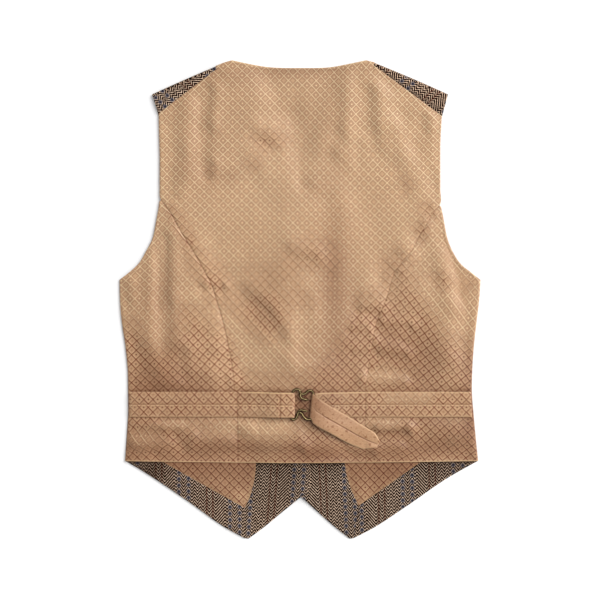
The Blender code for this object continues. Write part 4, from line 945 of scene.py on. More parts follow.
def wool_material():
    """Herringbone in dark brown and cream, with paired blue and rust stripes."""
    g = Graph("wool_herringbone")
    u, v, _ = g.split(g.attribute("weave"))
    place = g.place()
    fuzz = g.noise(place, 900.0, 2.0, 0.6)
    slow = g.noise(place, 130.0, 2.0)
    u = g.math("ADD", u, g.math("MULTIPLY", g.math("SUBTRACT", slow, 0.5), 0.5))
    v = g.math("ADD", v, g.math("MULTIPLY", g.math("SUBTRACT", g.noise(place, 95.0, 2.0), 0.5), 0.9))
    turns = g.math("FLOOR", g.math("DIVIDE", u, REPEAT))
    part = g.math("SUBTRACT", u, g.math("MULTIPLY", turns, REPEAT))
    f = g.math("DIVIDE", part, REPEAT)
    zig = [0.0]
    for k, w in enumerate(LEGS):
        steep = 1.0 if w > 10.0 else 1.18
        zig.append(zig[-1] + (w if k % 2 == 0 else -w) * steep)
    lo, hi = min(zig), max(zig)
    n = g.t.nodes.new("ShaderNodeValToRGB")
    n.color_ramp.interpolation = "LINEAR"
    g.t.links.new(f, n.inputs[0])
    stops = n.color_ramp.elements
    places = np.concatenate(([0.0], np.cumsum(LEGS))) / REPEAT
    stops[0].position, stops[1].position = 0.0, 1.0
    for p in places[1:-1]:
        stops.new(float(p))
    for k, z in enumerate(zig):
        c = (z - lo) / (hi - lo)
        stops[k].color = (c, c, c, 1.0)
    height = g.ramp(n.outputs["Color"], 0.0, 1.0, lo, hi)
    height = g.math("ADD", height, g.math("MULTIPLY", turns, zig[-1]))
    phase = g.math("DIVIDE", g.math("ADD", v, g.math("MULTIPLY", height, 1.15)), RISE)
    saw = g.math("SUBTRACT", phase, g.math("FLOOR", phase))
    tri = g.math("MULTIPLY", g.math("ABSOLUTE", g.math("SUBTRACT", saw, 0.5)), 2.0)
    tri = g.math("ADD", tri, g.math("MULTIPLY", g.math("SUBTRACT", fuzz, 0.5), 0.20))
    pale = g.step(tri, 0.71, 0.84)
    yarn = g.noise(g.scaled(place, (700.0, 700.0, 700.0)), 1.0, 1.0)
    cream = g.mix(g.step(yarn, 0.35, 0.7), (0.46, 0.320, 0.226), (0.97, 0.725, 0.535))
    brown = g.mix(g.step(yarn, 0.3, 0.7), (0.004, 0.0018, 0.0010), (0.016, 0.0060, 0.0030))
    color = g.mix(pale, brown, cream)

    def spots(stripe_at, leg, period, near, far):
        """Round spots down a stripe: 1 within near of a centre, 0 past far."""
        d = g.math("SUBTRACT", part, stripe_at)
        lift = g.math("ADD", g.math("MULTIPLY", turns, 1.15 * zig[-1]), 1.15 * zig[leg])
        p = g.math("DIVIDE", g.math("ADD", v, lift), period)
        e = g.math("MULTIPLY", g.math("SUBTRACT", g.math("SUBTRACT", p, g.math("FLOOR", p)), 0.5), period)
        r = g.math("SQRT", g.math("ADD", g.math("MULTIPLY", d, d), g.math("MULTIPLY", e, e)))
        r = g.math("ADD", r, g.math("MULTIPLY", g.math("SUBTRACT", fuzz, 0.5), 1.1))
        return g.step(r, far, near)

    def stripe(where, half):
        d = g.math("ABSOLUTE", g.math("SUBTRACT", part, where))
        return g.step(d, half * 1.3, half * 0.6)

    def pair(maker, places_, legs, *rest):
        return g.math("MAXIMUM", maker(places_[0], legs[0], *rest), maker(places_[1], legs[1], *rest))

    ring = pair(spots, (BLUE_1, BLUE_2), (2, 4), 2 * RISE, 2.2, 3.2)
    bead = pair(spots, (BLUE_1, BLUE_2), (2, 4), 2 * RISE, 1.1, 2.0)
    rust = pair(spots, (RUST_1, RUST_2), (10, 12), RISE, 0.6, 1.4)
    rust = g.math("MAXIMUM", rust, g.math("MULTIPLY", pair(stripe, (RUST_1, RUST_2), (0.8, 0.8)), 0.8))
    color = g.mix(g.math("MULTIPLY", ring, 0.70), color, g.mix(pale, (0.120, 0.116, 0.138), (0.190, 0.180, 0.198)))
    color = g.mix(g.math("MULTIPLY", bead, 0.92), color, (0.010, 0.010, 0.018))
    color = g.mix(g.math("MULTIPLY", rust, 0.85), color, g.mix(pale, (0.040, 0.009, 0.004), (0.120, 0.030, 0.012)))
    lit, _, shade_and_tone = g.split(g.attribute("state"))
    # painted light by the state's first value and painted shade by its third
    color = g.mix(lit, color, g.mix(1.0, color, (1.27, 1.215, 1.18), "MULTIPLY"))
    color = g.mix(shade_and_tone, color, g.mix(1.0, color, (0.30, 0.26, 0.24), "MULTIPLY"))
    g.shader("Base Color", color)
    g.shader("Roughness", g.ramp(fuzz, 0.3, 0.7, 0.86, 0.96))
    g.shader("Specular IOR Level", 0.02)
    g.bump(g.math("ADD", g.math("MULTIPLY", tri, 0.6), g.math("MULTIPLY", fuzz, 0.7)), 0.00035, 0.7)
    return g.m


def brass_material():
    g = Graph("brass_antique")
    place = g.place()
    worn = g.noise(place, 420.0, 3.0, 0.6)
    stain = g.noise(place, 1500.0, 2.0)
    normal = g.t.nodes.new("ShaderNodeTexCoord").outputs["Normal"]
    _, _, up = g.split(normal)
    # painted highlight: only upward-facing wire gets bright brass, mottled by wear and stains; the rest stays
    # near-black, partly dark patina and partly painted shade
    top_highlight = g.step(up, 0.925, 1.0)
    mixed = g.step(g.math("ADD", g.math("MULTIPLY", worn, 0.7), g.math("MULTIPLY", stain, 0.3)), 0.36, 0.62)
    mixed = g.math("MULTIPLY", g.math("ADD", 0.35, g.math("MULTIPLY", mixed, 0.65)), top_highlight)
    color = g.mix(mixed, (0.010, 0.006, 0.002), (0.95, 0.70, 0.33))
    g.shader("Base Color", color)
    g.shader("Metallic", 1.0)
    g.shader("Roughness", g.ramp(mixed, 0.0, 1.0, 0.48, 0.26))
    g.bump(stain, 0.00006, 0.5)
    return g.m


def horn_material():
    g = Graph("horn_brown")
    place = g.place()
    band = g.noise(g.scaled(place, (120.0, 420.0, 300.0)), 1.0, 4.0, 0.65)
    color = g.mix(g.step(band, 0.35, 0.68), (0.022, 0.012, 0.008), (0.150, 0.075, 0.038))
    g.shader("Base Color", color)
    g.shader("Roughness", g.ramp(band, 0.3, 0.7, 0.30, 0.42))
    g.shader("Coat Weight", 0.25)
    g.shader("Coat Roughness", 0.22)
    g.bump(band, 0.00005, 0.6)
    return g.m


def thread_material(name, low, high):
    g = Graph(name)
    place = g.place()
    twist = g.noise(g.scaled(place, (1.0, 1.0, 1.0)), 1400.0, 2.0)
    g.shader("Base Color", g.mix(g.step(twist, 0.3, 0.7), low, high))
    g.shader("Roughness", g.ramp(twist, 0.3, 0.7, 0.42, 0.58))
    g.shader("Sheen Weight", 0.1)
    g.bump(twist, 0.00008, 0.5)
    return g.m


def floor_material():
    g = Graph("floor_pale")
    place = g.place()
    n = g.noise(place, 3.0, 2.0)
    g.shader("Base Color", g.mix(n, (0.955, 0.955, 0.955), (0.965, 0.965, 0.965)))
    g.shader("Roughness", g.ramp(n, 0.0, 1.0, 0.88, 0.94))
    g.shader("Specular IOR Level", 0.1)
    g.shader("Emission Color", (1.0, 1.0, 1.0, 1.0))
    g.shader("Emission Strength", 0.05)
    return g.m


SATIN = satin_material()
WOOL = wool_material()
BRASS = brass_material()
HORN = horn_material()
THREAD_PALE = thread_material("thread_pale", (0.42, 0.27, 0.15), (0.66, 0.46, 0.28))
THREAD_DARK = thread_material("thread_dark", (0.16, 0.075, 0.040), (0.27, 0.14, 0.080))

# ================================================================ the satin's figure on the cloth
REP_X, REP_Y = 11.75, 11.87
DOT_X, DOT_Y = at(332.6, 317.3)


def figure(x, y, panel):
    """Where the figure lies on the cloth, in repeats."""
    px, py = seen(x, y)
    if panel == "right":
        turn = 0.01 + 0.105 * ease((py - 225.0) / 130.0) - 0.05 * ease((py - 385.0) / 60.0)
        cx, cy = at(372.0, 300.0)
        dx, dy = x - cx, y - cy
        x = cx + np.cos(turn) * dx - np.sin(turn) * dy
        y = cy + np.sin(turn) * dx + np.cos(turn) * dy
    s = (x - DOT_X) / REP_X
    t = (y - DOT_Y) / REP_Y
    s = s + 0.26 * cloud(x, y, 130.0, 31) + 0.05 * cloud(x, y, 34.0, 32)
    t = t + 0.20 * cloud(x, y, 120.0, 33) + 0.05 * cloud(x, y, 31.0, 34)
    # drawn together in the sewn hem
    wide = ease((px - 215.0) / 50.0) * (1 - ease((px - 385.0) / 45.0))
    t = t - (0.25 + 0.65 * wide) * ease((py - 438.0) / 22.0)
    t = t - 0.12 * ease((py - 380.0) / 20.0)
    if panel == "left":
        column = ease((py - 225.0) / 20.0) * (1 - ease((py - 345.0) / 30.0))
        s = s + 0.42 * ease((px - 152.0) / 32.0) * column + 0.12
        # a pull toward the side seam below the strap
        pull = ease((py - 424.0) / 8.0) * (1 - ease((py - 446.0) / 8.0)) * (1 - ease((px - 150.0) / 30.0))
        s = s + 0.35 * pull * (py - 434.0) / 12.0
    if panel == "right":
        s, t = s + 0.35, t + 0.12
    return s, t


def satin_state(x, y):
    """How far the figure shows painted shade instead of painted sheen, and how far painted shade, more toward the
    bottom, and some uneven tone darken the ground.
    """
    px, py = seen(x, y)
    start = np.interp(px, [p[0] for p in DARK_FROM], [p[1] for p in DARK_FROM])
    sheen_flip = ease((py - start + 20.0) / 40.0) + blobs(TURNS, x, y) + 0.10 * cloud(x, y, 14.0, 41)
    sheen_flip = np.where(py > 464.0, 1.0, sheen_flip)
    shade_and_tone = (0.02 + 0.10 * ease((py - 150.0) / 160.0) + 0.22 * ease((py - 340.0) / 60.0)
             + blobs(SATIN_SHADE_PAINT, x, y) + 0.05 * cloud(x, y, 40.0, 42))
    return np.clip(sheen_flip, -0.3, 1.3), np.clip(shade_and_tone, 0.0, 1.0)


def band(d, half):
    return np.clip(1.0 - np.abs(d) / half, 0.0, 1.0)


def back_painted_edges(x, y):
    """Painted highlight on the hem's fold; painted shadow along the straps' edges; a paler edge and a darker band at
    the neck; a darker line along the seams.
    """
    broken = 0.55 + 0.45 * cloud(x, y, 11.0, 91)
    hem = np.clip((1.45 - np.abs(y - hem_y(x))) / 0.8, 0.0, 1.0) * (0.86 + 0.14 * cloud(x, y * 0, 4.0, 93))
    above = -1.0 * band(y + 116.6, 3.0) * broken * (np.abs(x) < 216.0)
    below = -0.20 * band(y + 151.6, 2.6) * (0.5 + 0.5 * cloud(x, y, 13.0, 92))
    seam = -0.70 * np.clip((0.90 - distance_to(LEFT_SEAM, x, y)) / 0.55, 0.0, 1.0)
    seam = seam - 0.34 * np.clip((0.90 - distance_to(RIGHT_SEAM, x, y)) / 0.55, 0.0, 1.0)
    seam = seam * (0.70 + 0.30 * cloud(x * 0, y, 3.0, 94))
    top = distance_to(TOP_RUNS[3][1], x, y)
    neck = 0.50 * np.clip((1.2 - top) / 0.6, 0.0, 1.0) - 0.30 * band(top - 3.4, 1.8) * broken
    return hem + above + below + neck + seam * (y < hem_y(x) + 400.0) * (1 - hem)


def hem_y(x):
    return np.interp(x, [-223.5, -79.5, 84.0, 227.5], [-206.0, -208.0, -208.0, -206.0])


PIECES = []             # object, node it stands for, material slot


def satin_panel(name, node, flat, panel):
    x, y = flat[..., 0], flat[..., 1]
    top = back_top(x, y)
    under = np.maximum(top - SATIN_T, back_floor(x, y))
    under = np.minimum(under, top - 0.3)
    s, t = figure(x, y, panel)
    sheen_flip, shade_and_tone = satin_state(x, y)
    ob = shell(name, field(x, y, under), field(x, y, top), SATIN,
               field(s, t, back_painted_edges(x, y)), field(sheen_flip, np.clip(blobs(SMOOTH, x, y), 0.0, 0.52), shade_and_tone))
    PIECES.append((ob, node, "satin"))
    return ob


# ---------------------------------------------------------------- back
FINE = 9
SEAM_HALF = 0.06
top = [smooth_run(run[1], run[0] * FINE) for run in TOP_RUNS]
top_row = np.concatenate([top[0]] + [t[1:] for t in top[1:]])
cols = sum(run[0] for run in TOP_RUNS) * FINE
rows = [top_row] + [even(r[1], r[2], cols) for r in YOKE_ROWS[1:]]
rows += [even(np.add(r[2], (SEAM_HALF, 0)), np.subtract(r[3], (SEAM_HALF, 0)), cols) for r in BACK_ROWS]
centre_flat, _ = dense_rows(rows, 2.5)


def hemmed(flat):
    """More rows close to the hem, where its fold shows."""
    a, b = flat[-2], flat[-1]
    more = [a + (b - a) * f for f in (0.30, 0.42, 0.62, 0.82)]
    return np.concatenate((flat[:-1], np.array(more), flat[-1:]))


centre_flat = rimmed(rimmed(hemmed(centre_flat), 0.95), 0.40)
vis_centre = satin_panel("vis_back_centre", "back_centre", centre_flat, "centre")


def side_flat(side, seam):
    rows = []
    for r in BACK_ROWS:
        a = np.array(r[side], float)
        b = np.array(r[seam], float)
        b[0] += -SEAM_HALF if side == 1 else SEAM_HALF
        width = np.hypot(*(b - a))
        edge = min(5.6, 0.25 * width)
        u = np.concatenate((edge * np.array([0, 0.09, 0.2, 0.32, 0.46, 0.62, 0.8]),
                            np.linspace(edge, width, 42))) / width
        rows.append(a + (b - a) * u[:, None])
    flat, _ = dense_rows(rows, 2.5, sharp=(8,))
    return rimmed(rimmed(hemmed(flat), 0.95), 0.40)


vis_left = satin_panel("vis_back_side_left", "back_side_left", side_flat(1, 2), "left")
vis_right = satin_panel("vis_back_side_right", "back_side_right", side_flat(4, 3), "right")


# ---------------------------------------------------------------- fronts
LC, FC = 30, 22


def settle(x, y):
    """Small unevenness of the wool where it shows below the hem."""
    low = ease((-196.0 - y) / 26.0)
    wave = 0.5 + 0.5 * cloud(x, y, 34.0, 51)
    edge = 0.5 + 0.5 * cloud(x, y, 15.0, 52)
    return low * (0.25 * wave + 0.12 * edge)


def stripes_left(x, y):
    """Cloth place of the left front's wool."""
    return x + 0.02 * y, y


def unfold(points, fold):
    """Points past the shoulder fold, turned back into the front's plane."""
    a, b = np.array(fold[0]), np.array(fold[-1])
    d = (b - a) / np.hypot(*(b - a))
    rel = points - a
    along_fold = rel @ d
    off = rel - along_fold[..., None] * d
    return a + along_fold[..., None] * d - off


def front(name, node, fold, seam, table, hem, lift, seam_in):
    f = smooth_run(fold, LC + FC)
    s = smooth_run(seam, LC + FC)
    s = s + np.array(seam_in)
    d = f[-1] - f[0]
    d = d / np.hypot(*d)
    out = np.array((-d[1], d[0]))
    if out[1] < 0:
        out = -out
    inner = f - out * FOLD_R
    r_in = FOLD_R - WOOL_T
    lo_rows, hi_rows, cloth = [], [], []
    for t in np.concatenate(([0.0, 0.04], np.linspace(0.12, 1.0, 9))):
        p = s * (1 - t) + inner * t
        wide = np.hypot(*(inner - s).T)
        near = t * wide
        dip = 0.75 * np.exp(-(near / 1.6) ** 2)
        puff = 0.55 * np.sin(math.pi * t) * ease(wide / 24.0) * (1 + 0.5 * cloud(p[:, 0], p[:, 1], 19.0, 61))
        z = 2 * FOLD_R - dip + puff
        lo_rows.append(np.column_stack((p, z)))
        hi_rows.append(np.column_stack((p, np.minimum(np.full(len(p), Z_BACK), z - 0.5))))
        cloth.append(unfold(p, fold))
    for deg in np.linspace(0, 180, 11)[1:-1]:
        a = math.radians(deg)
        po = inner + out * FOLD_R * math.sin(a)
        pi = inner + out * r_in * math.sin(a)
        lo_rows.append(np.column_stack((po, np.full(len(po), FOLD_R + FOLD_R * math.cos(a)))))
        hi_rows.append(np.column_stack((pi, np.full(len(pi), FOLD_R + r_in * math.cos(a)))))
        arc = FOLD_R * (math.pi / 2 - a)
        cloth.append(f + out * arc - out * FOLD_R * 0)
    named = [inner]
    for _n, arm, mid, edge in table:
        named.append(np.concatenate((even(arm, mid, LC), even(mid, edge, FC)[1:])))
    named.append(np.concatenate((smooth_run(hem[0], LC), smooth_run(hem[1], FC)[1:])))
    flat, places = dense_rows(named, 3.6, sharp=(11,))
    for p in flat:
        z = lift(p[:, 0], p[:, 1]) + settle(p[:, 0], p[:, 1])
        lo_rows.append(np.column_stack((p, z)))
        hi_rows.append(np.column_stack((p, z + WOOL_T)))
        cloth.append(p)
    lo, hi, cl = rimmed(np.concatenate((np.array(lo_rows), np.array(hi_rows), np.array(cloth)), 2), 0.6).transpose(2, 0, 1), None, None
    under = lo[0:3].transpose(1, 2, 0)
    over = lo[3:6].transpose(1, 2, 0)
    cl = lo[6:8]
    weave = field(cl[0], cl[1], 0 * cl[0])
    # painted light on the wool of the fronts, stronger on the right front
    state = field((0.45 if seam_in[0] > 0 else 1.0) + 0 * cl[0], 0 * cl[0], 0 * cl[0])
    ob = shell(name, under, over, WOOL, weave, state, 0.35)
    PIECES.append((ob, node, "wool"))
    return flat, places


left_flat, left_places = front("vis_front_left", "front_left", FOLD_LEFT, SEAM_LEFT, FRONT_LEFT_ROWS,
                               HEM_LEFT, lift_left, (0.15, -0.2))
right_flat, right_places = front("vis_front_right", "front_right", FOLD_RIGHT, SEAM_RIGHT,
                                 FRONT_RIGHT_ROWS, HEM_RIGHT, lift_right, (-0.15, -0.2))


def tilted(x, y, x0, y0, deg, u0):
    """Cloth place of wool whose stripes lean by deg and pass (x0, y0)."""
    a = math.radians(deg)
    return (x - x0) * math.cos(a) - (y - y0) * math.sin(a) + u0, (x - x0) * math.sin(a) + (y - y0) * math.cos(a)


def insides(side, flat, places, table, lift):
    apex = places[[r[0] for r in table].index("apex") + 1]
    c = LC
    half = 0.08
    sidewall = flat[:, 0, 1] < 26.0
    arm = np.where(sidewall, SIDE_INSET, ARM_INSET)

    def down(block, start, end):
        return np.swapaxes(trimmed(np.swapaxes(block, 0, 1), start, end), 0, 1)

    lining = trimmed(flat[:apex + 1, :c + 1], arm[:apex + 1], half)
    lining = down(lining, FOLD_INSET, half)
    band = trimmed(flat[apex:, :c + 1], arm[apex:], half)
    band = down(band, half, EDGE_INSET)
    facing = trimmed(flat[:, c:], half, EDGE_INSET)
    facing = down(facing, FOLD_INSET, EDGE_INSET)
    sign = -1 if side == "left" else 1
    for name, part, thick, look, slot in (("lining_", lining, SATIN_T, SATIN, "satin"),
                                          ("facing_hem_", band, FACING_T, WOOL, "wool"),
                                          ("facing_front_", facing, FACING_T, WOOL, "wool")):
        part = rimmed(part, 0.6)
        x, y = part[..., 0], part[..., 1]
        z = Z_FACING + lift(x, y) + settle(x, y)
        up = np.full(x.shape, thick)
        # dip where the pieces meet
        edge = np.zeros(x.shape)
        if name == "lining_":
            d = np.minimum(distance_to(part[-1, ::3], x, y), distance_to(part[:, -1][::4], x, y))
            low = ease((-190.0 - y) / 14.0)
            pleat = 0.45 * np.exp(-((x - sign * 93.0 - 0.02 * (y + 230.0)) / 1.1) ** 2) * low
            soft = 0.45 * low * (cloud(x, y, 13.0, 71) + 0.5) * ease(d / 7.0)
            edge = -0.35 * np.exp(-(d / 1.5) ** 2) + soft - pleat
        else:
            rim = part[0] if name == "facing_hem_" else part[:, 0]
            d = distance_to(rim[::3], x, y)
            edge = -0.30 * np.exp(-(d / 1.4) ** 2)
            outer = part[-1] if name == "facing_hem_" else part[:, -1]
            e = distance_to(outer[::3], x, y)
            edge = edge - 0.45 * (1 - ease(e / 2.2)) - 0.22 * np.exp(-((e - 5.0) / 0.9) ** 2)
        over = field(x, y, z + np.maximum(up + edge, 0.45))
        under = field(x, y, z)
        if name == "lining_":
            px, py = seen(x, y)
            s = (x - DOT_X) / REP_X + (0.2 if side == "left" else 0.45)
            t = (y - DOT_Y) / REP_Y + 0.3 + 0.06 * cloud(x, y, 30.0, 72)
            weave = field(s, t, 0 * x)
            # paler along the edges where the lining meets the other pieces, and painted shadow just below the back's
            # hem
            weave[..., 2] = 0.50 * np.clip(1 - d / 1.3, 0, 1) - 0.40 * (1 - ease((hem_y(x) - y) / 2.6))
            # painted shade, deepest just below the back's hem, over a deep base with uneven tone and two paler spots
            shade_and_tone = 0.72 + 0.15 * cloud(x, y, 30.0, 73) + 0.28 * (1 - ease((py - 463.0) / 22.0))
            shade_and_tone = shade_and_tone - blobs(((241, 497, 8, 8, 0.6), (363, 495, 8, 9, 0.35)), x, y)
            state = field(1.0 + 0 * x, 0 * x, np.clip(shade_and_tone, 0, 1))
        else:
            if side == "left" and name == "facing_hem_":
                u, v = tilted(x, y, *at(178.9, 490.0), 0.0, BLUE_1)
            elif side == "left":
                u, v = tilted(x, y, *at(293.6, 480.0), 4.0, BLUE_1)
            elif name == "facing_hem_":
                u, v = tilted(x, y, *at(402.6, 480.0), -1.0, 0.0)
            else:
                u, v = tilted(x, y, *at(344.2, 480.0), -2.5, 0.0)
            if side == "right":     # the other side is cut as its mirror image
                u = BLUE_2 - u
            weave = field(u, v, 0 * x)
            # below the hem: painted light further down (first value) and the painted shadow of the back's hem just
            # below it (third value, with the listed wool shade)
            under_hem = hem_y(x) - y
            paler = 1.0 if side == "left" else 0.30
            state = field(paler * (0.12 + 0.30 * ease((under_hem - 25.0) / 35.0)), 0 * x, 0.80 * (1 - ease(under_hem / 3.4)) + 0.42 * (1 - ease(under_hem / 30.0))
                          + blobs(WOOL_SHADE_PAINT, x, y))
        ob = shell("vis_" + name + side, under, over, look, weave, state, 0.3)
        PIECES.append((ob, name + side, slot))


insides("left", left_flat, left_places, FRONT_LEFT_ROWS, lift_left)
insides("right", right_flat, right_places, FRONT_RIGHT_ROWS, lift_right)

# ---------------------------------------------------------------- straps
ACROSS = np.array([0, 0.018, 0.045, 0.08, 0.14, 0.21, 0.29, 0.37, 0.43, 0.465, 0.487, 0.4955,
                   0.5045, 0.513, 0.535, 0.57, 0.63, 0.71, 0.79, 0.86, 0.905, 0.935, 0.955, 0.972, 0.986, 1.0])
STRAP_WIDE = 32.0
BAR_X_LEFT = LEFT_LOOP_X - STRAP_T - WIRE_CLEAR - WIRE_R
PLY_RISE = 2 * (WIRE_R + WIRE_CLEAR)
LOOP_R = (PLY_RISE + 2 * STRAP_T) / 2.0
FLOOR_LEFT = float(cad_back_top(np.array([BAR_X_LEFT]), np.array([-134.0]))[0]) + STRAP_GAP
FLOOR_RIGHT = float(cad_back_top(np.array([14.0]), np.array([-135.0]))[0]) + STRAP_GAP


def strap_floor(x, y):
    """Underside of a strap that lies on the back."""
    cad = cad_back_top(x, y) + STRAP_GAP
    own = back_top(x, y) + 0.30
    middle = ease((48.0 - np.abs(x)) / 16.0)
    return np.maximum(own, cad - 0.3) * (1 - middle) + np.maximum(cad, own) * middle


def section(f):
    """How far the strap's upper face lies below its flat height."""
    d = np.minimum(f, 1 - f) * STRAP_WIDE
    edge = 0.55 * (1 - ease(d / 1.7))
    groove = 0.55 * np.exp(-((f - 0.5) * STRAP_WIDE / 0.75) ** 2)
    pinch = 0.16 * np.exp(-((d - 2.6) / 0.6) ** 2)
    pillow = -0.30 * np.sin(math.pi * np.clip(2 * np.where(f < 0.5, f, 1 - f), 0, 1))
    return edge + groove + pinch + pillow


CREST_UPPER = 0.55
CENTRE_AT = (0.465, 0.487, 0.4955, 0.5045, 0.513, 0.535, 0.57)


def strap_plain(f):
    """Where the strap's turned edge hides the figure."""
    return np.interp(f, (0.0, 0.935, 0.955, 1.0), (0.0, 0.0, 1.0, 1.0))


def strap_painted_edges(x, f):
    """Painted highlight on the upper edge, a painted shaded and a painted lit side along the middle seam's groove,
    and a pale line and painted shadow at the lower edge.
    """
    edge = np.interp(f, (0.0, 0.018, 0.045, 0.08), (0.9, 0.8, 0.25, 0.0))
    edge = edge * (0.12 + 0.88 * ease((x + 84.0) / 20.0) * (1 - 0.6 * ease((x - 84.0) / 20.0)))
    middle = np.interp(f, CENTRE_AT, (0.0, -0.45, -0.60, -0.10, 0.35, 0.30, 0.0))
    low = np.interp(f, (0.935, 0.955, 0.972, 0.986, 1.0), (0.0, 0.62, 0.50, -0.15, -0.45))
    return edge + low * (0.8 + 0.2 * cloud(x, f * 0, 3.0, 88)) + middle * (0.75 + 0.25 * cloud(x, f * 0, 5.0, 86))


def cross_seams(x, places):
    total = 0.0
    for x0 in places:
        total = total + 0.50 * np.exp(-((x - x0) / 0.8) ** 2) - 0.12 * np.exp(-((np.abs(x - x0) - 2.6) / 1.2) ** 2)
    return total


def across(up, low):
    return up[:, None] + (low - up)[:, None] * ACROSS[None, :, None]


def strap_figure(x, y, f):
    s = (x - DOT_X) / REP_X + 0.05 * cloud(x, y, 30.0, 81)
    upper = (y - at(0, 399.2)[1]) / REP_Y
    lower = (y - at(0, 411.8)[1]) / REP_Y + 0.5
    s = s + np.where(f < 0.5, 0.0, 0.5)
    return s, np.where(f < 0.5, upper, lower)


def strap_state(x, y):
    px, py = seen(x, y)
    # painted shade on the figure over most of the straps, with painted sheen on part of the right strap's upper half
    # and less shade on part of the left strap's lower half
    sheen_flip = (0.92 - 0.68 * ease((px - 382.0) / 8.0) * (1 - ease((px - 426.0) / 12.0)) * ease((405.0 - py) / 3.0)
            - 0.25 * ease((px - 238.0) / 4.0) * (1 - ease((px - 278.0) / 6.0)) * ease((py - 405.0) / 3.0)
            + 0.16 * cloud(x, y, 16.0, 82))
    # painted shade: darker toward the left, paler toward the right, and in listed spots
    shade_and_tone = (0.30 + 0.12 * (1 - ease((px - 180.0) / 120.0)) - 0.20 * ease((px - 360.0) / 60.0)
             + blobs(((243, 396, 10, 7, 0.15), (250, 416, 12, 4, 0.15), (285, 405, 9, 12, -0.20), (258, 403, 16, 14, -0.32),
                      (335, 400, 16, 8, 0.28), (360, 411, 12, 5, 0.05), (418, 403, 24, 12, 0.14), (232, 400, 9, 9, -0.30), (375, 401, 13, 9, -0.26),
                      (328, 398, 9, 7, 0.18), (466, 404, 8, 10, 0.26), (271, 407, 8, 12, -0.25)), x, y)
             + 0.05 * cloud(x, y, 20.0, 83))
    return sheen_flip, np.clip(shade_and_tone, 0, 1)


# left strap
rows = np.array([(*up, *low, rise) for up, low, rise in LEFT_STRAP_ROWS])[:, None, :]
rows, _ = dense_rows(rows, 1.6)
rows = rows[:, 0]
flat = across(rows[:, 0:2], rows[:, 2:4])
x, y = flat[..., 0], flat[..., 1]
f = np.broadcast_to(ACROSS, x.shape)
z = strap_floor(x, y)
up_share = ease(rows[:, 4] / 3.6)[:, None]
z = z + (FLOOR_LEFT + STRAP_T + PLY_RISE - z) * up_share
loose = ease((x + 84.0) / 20.0) * (1 - ease((x + 34.0) / 16.0))
z = z + loose * (0.15 * ease((f - 0.55) / 0.4) + 0.2 * np.exp(-((x + 62.0) / 8.0) ** 2))
lows = [field(x, y, z)]
highs = [field(x, y, z + STRAP_T - section(f) - cross_seams(x, (-80.0, -25.2)))]
s, t = strap_figure(x, y, f)
seam_dark = -0.85 * (band(x + 80.0, 1.6) * (0.7 + 0.3 * cloud(x, y, 2.6, 87)) + 0.8 * band(x + 25.2, 1.6))
figs = [field(s, t, strap_painted_edges(x, f) + seam_dark)]
sheen_flip, shade_and_tone = strap_state(x, y)
states = [field(sheen_flip, strap_plain(f), shade_and_tone)]
centre = np.array((BAR_X_LEFT, FLOOR_LEFT + LOOP_R))
ys = np.linspace(-118.6, -150.0, 2)
ys = ys[0] + (ys[1] - ys[0]) * ACROSS
last_s = s[-1, -1]
for deg in np.linspace(90.0, -90.0, 13)[1:]:
    a = math.radians(deg)
    r_out = LOOP_R - np.clip(section(ACROSS), 0, 0.6) * 0.8
    r_in = LOOP_R - STRAP_T
    for store, r in ((highs, r_out), (lows, np.full(len(ys), r_in))):
        xx = centre[0] + r * math.cos(a)
        zz = centre[1] + r * math.sin(a)
        store.append(np.stack((xx, ys, zz), -1)[None])
    xs = np.full(len(ys), BAR_X_LEFT + (math.pi / 2 - a) * LOOP_R)
    ss, tt = strap_figure(xs, ys, ACROSS)
    figs.append(field(ss, tt, 0 * ss)[None])
    states.append(field(1.0 + 0 * ss, 0 * ss, 0.3 + 0 * ss)[None])
for k, x0 in enumerate(np.linspace(BAR_X_LEFT, LEFT_LOOP_END, 8)[1:]):
    xs = np.full(len(ys), x0)
    z0 = strap_floor(xs, ys)
    highs.append(np.stack((xs, ys, z0), -1)[None])
    lows.append(np.stack((xs, ys, z0 + STRAP_T), -1)[None])
    ss, tt = strap_figure(xs, ys, ACROSS)
    figs.append(field(-ss, tt, 0 * ss)[None])
    states.append(field(1.0 + 0 * ss, 0 * ss, 0.3 + 0 * ss)[None])
vis_strap_left = shell("vis_strap_left", np.concatenate(lows), np.concatenate(highs), SATIN,
                       np.concatenate(figs), np.concatenate(states), 0.25)
PIECES.append((vis_strap_left, "strap_left", "satin"))

def tail_painted_edges(f, seam):
    """Painted highlight on the tail's edges and a dark line along its middle seam."""
    edge = np.interp(np.minimum(f, 1 - f), (0.0, 0.018, 0.045, 0.08), (0.45, 0.40, 0.10, 0.0))
    return edge + seam * np.interp(f, CENTRE_AT, (0.0, -0.55, -1.0, -1.0, -0.55, 0.05, 0.0))


def tail_section(f):
    d = np.minimum(f, 1 - f) * STRAP_WIDE
    groove = 0.42 * np.exp(-((f - 0.5) * STRAP_WIDE / 0.55) ** 2)
    pillow = -0.12 * np.sin(math.pi * np.clip(2 * np.where(f < 0.5, f, 1 - f), 0, 1))
    return 0.50 * (1 - ease(d / 1.3)) + groove + pillow


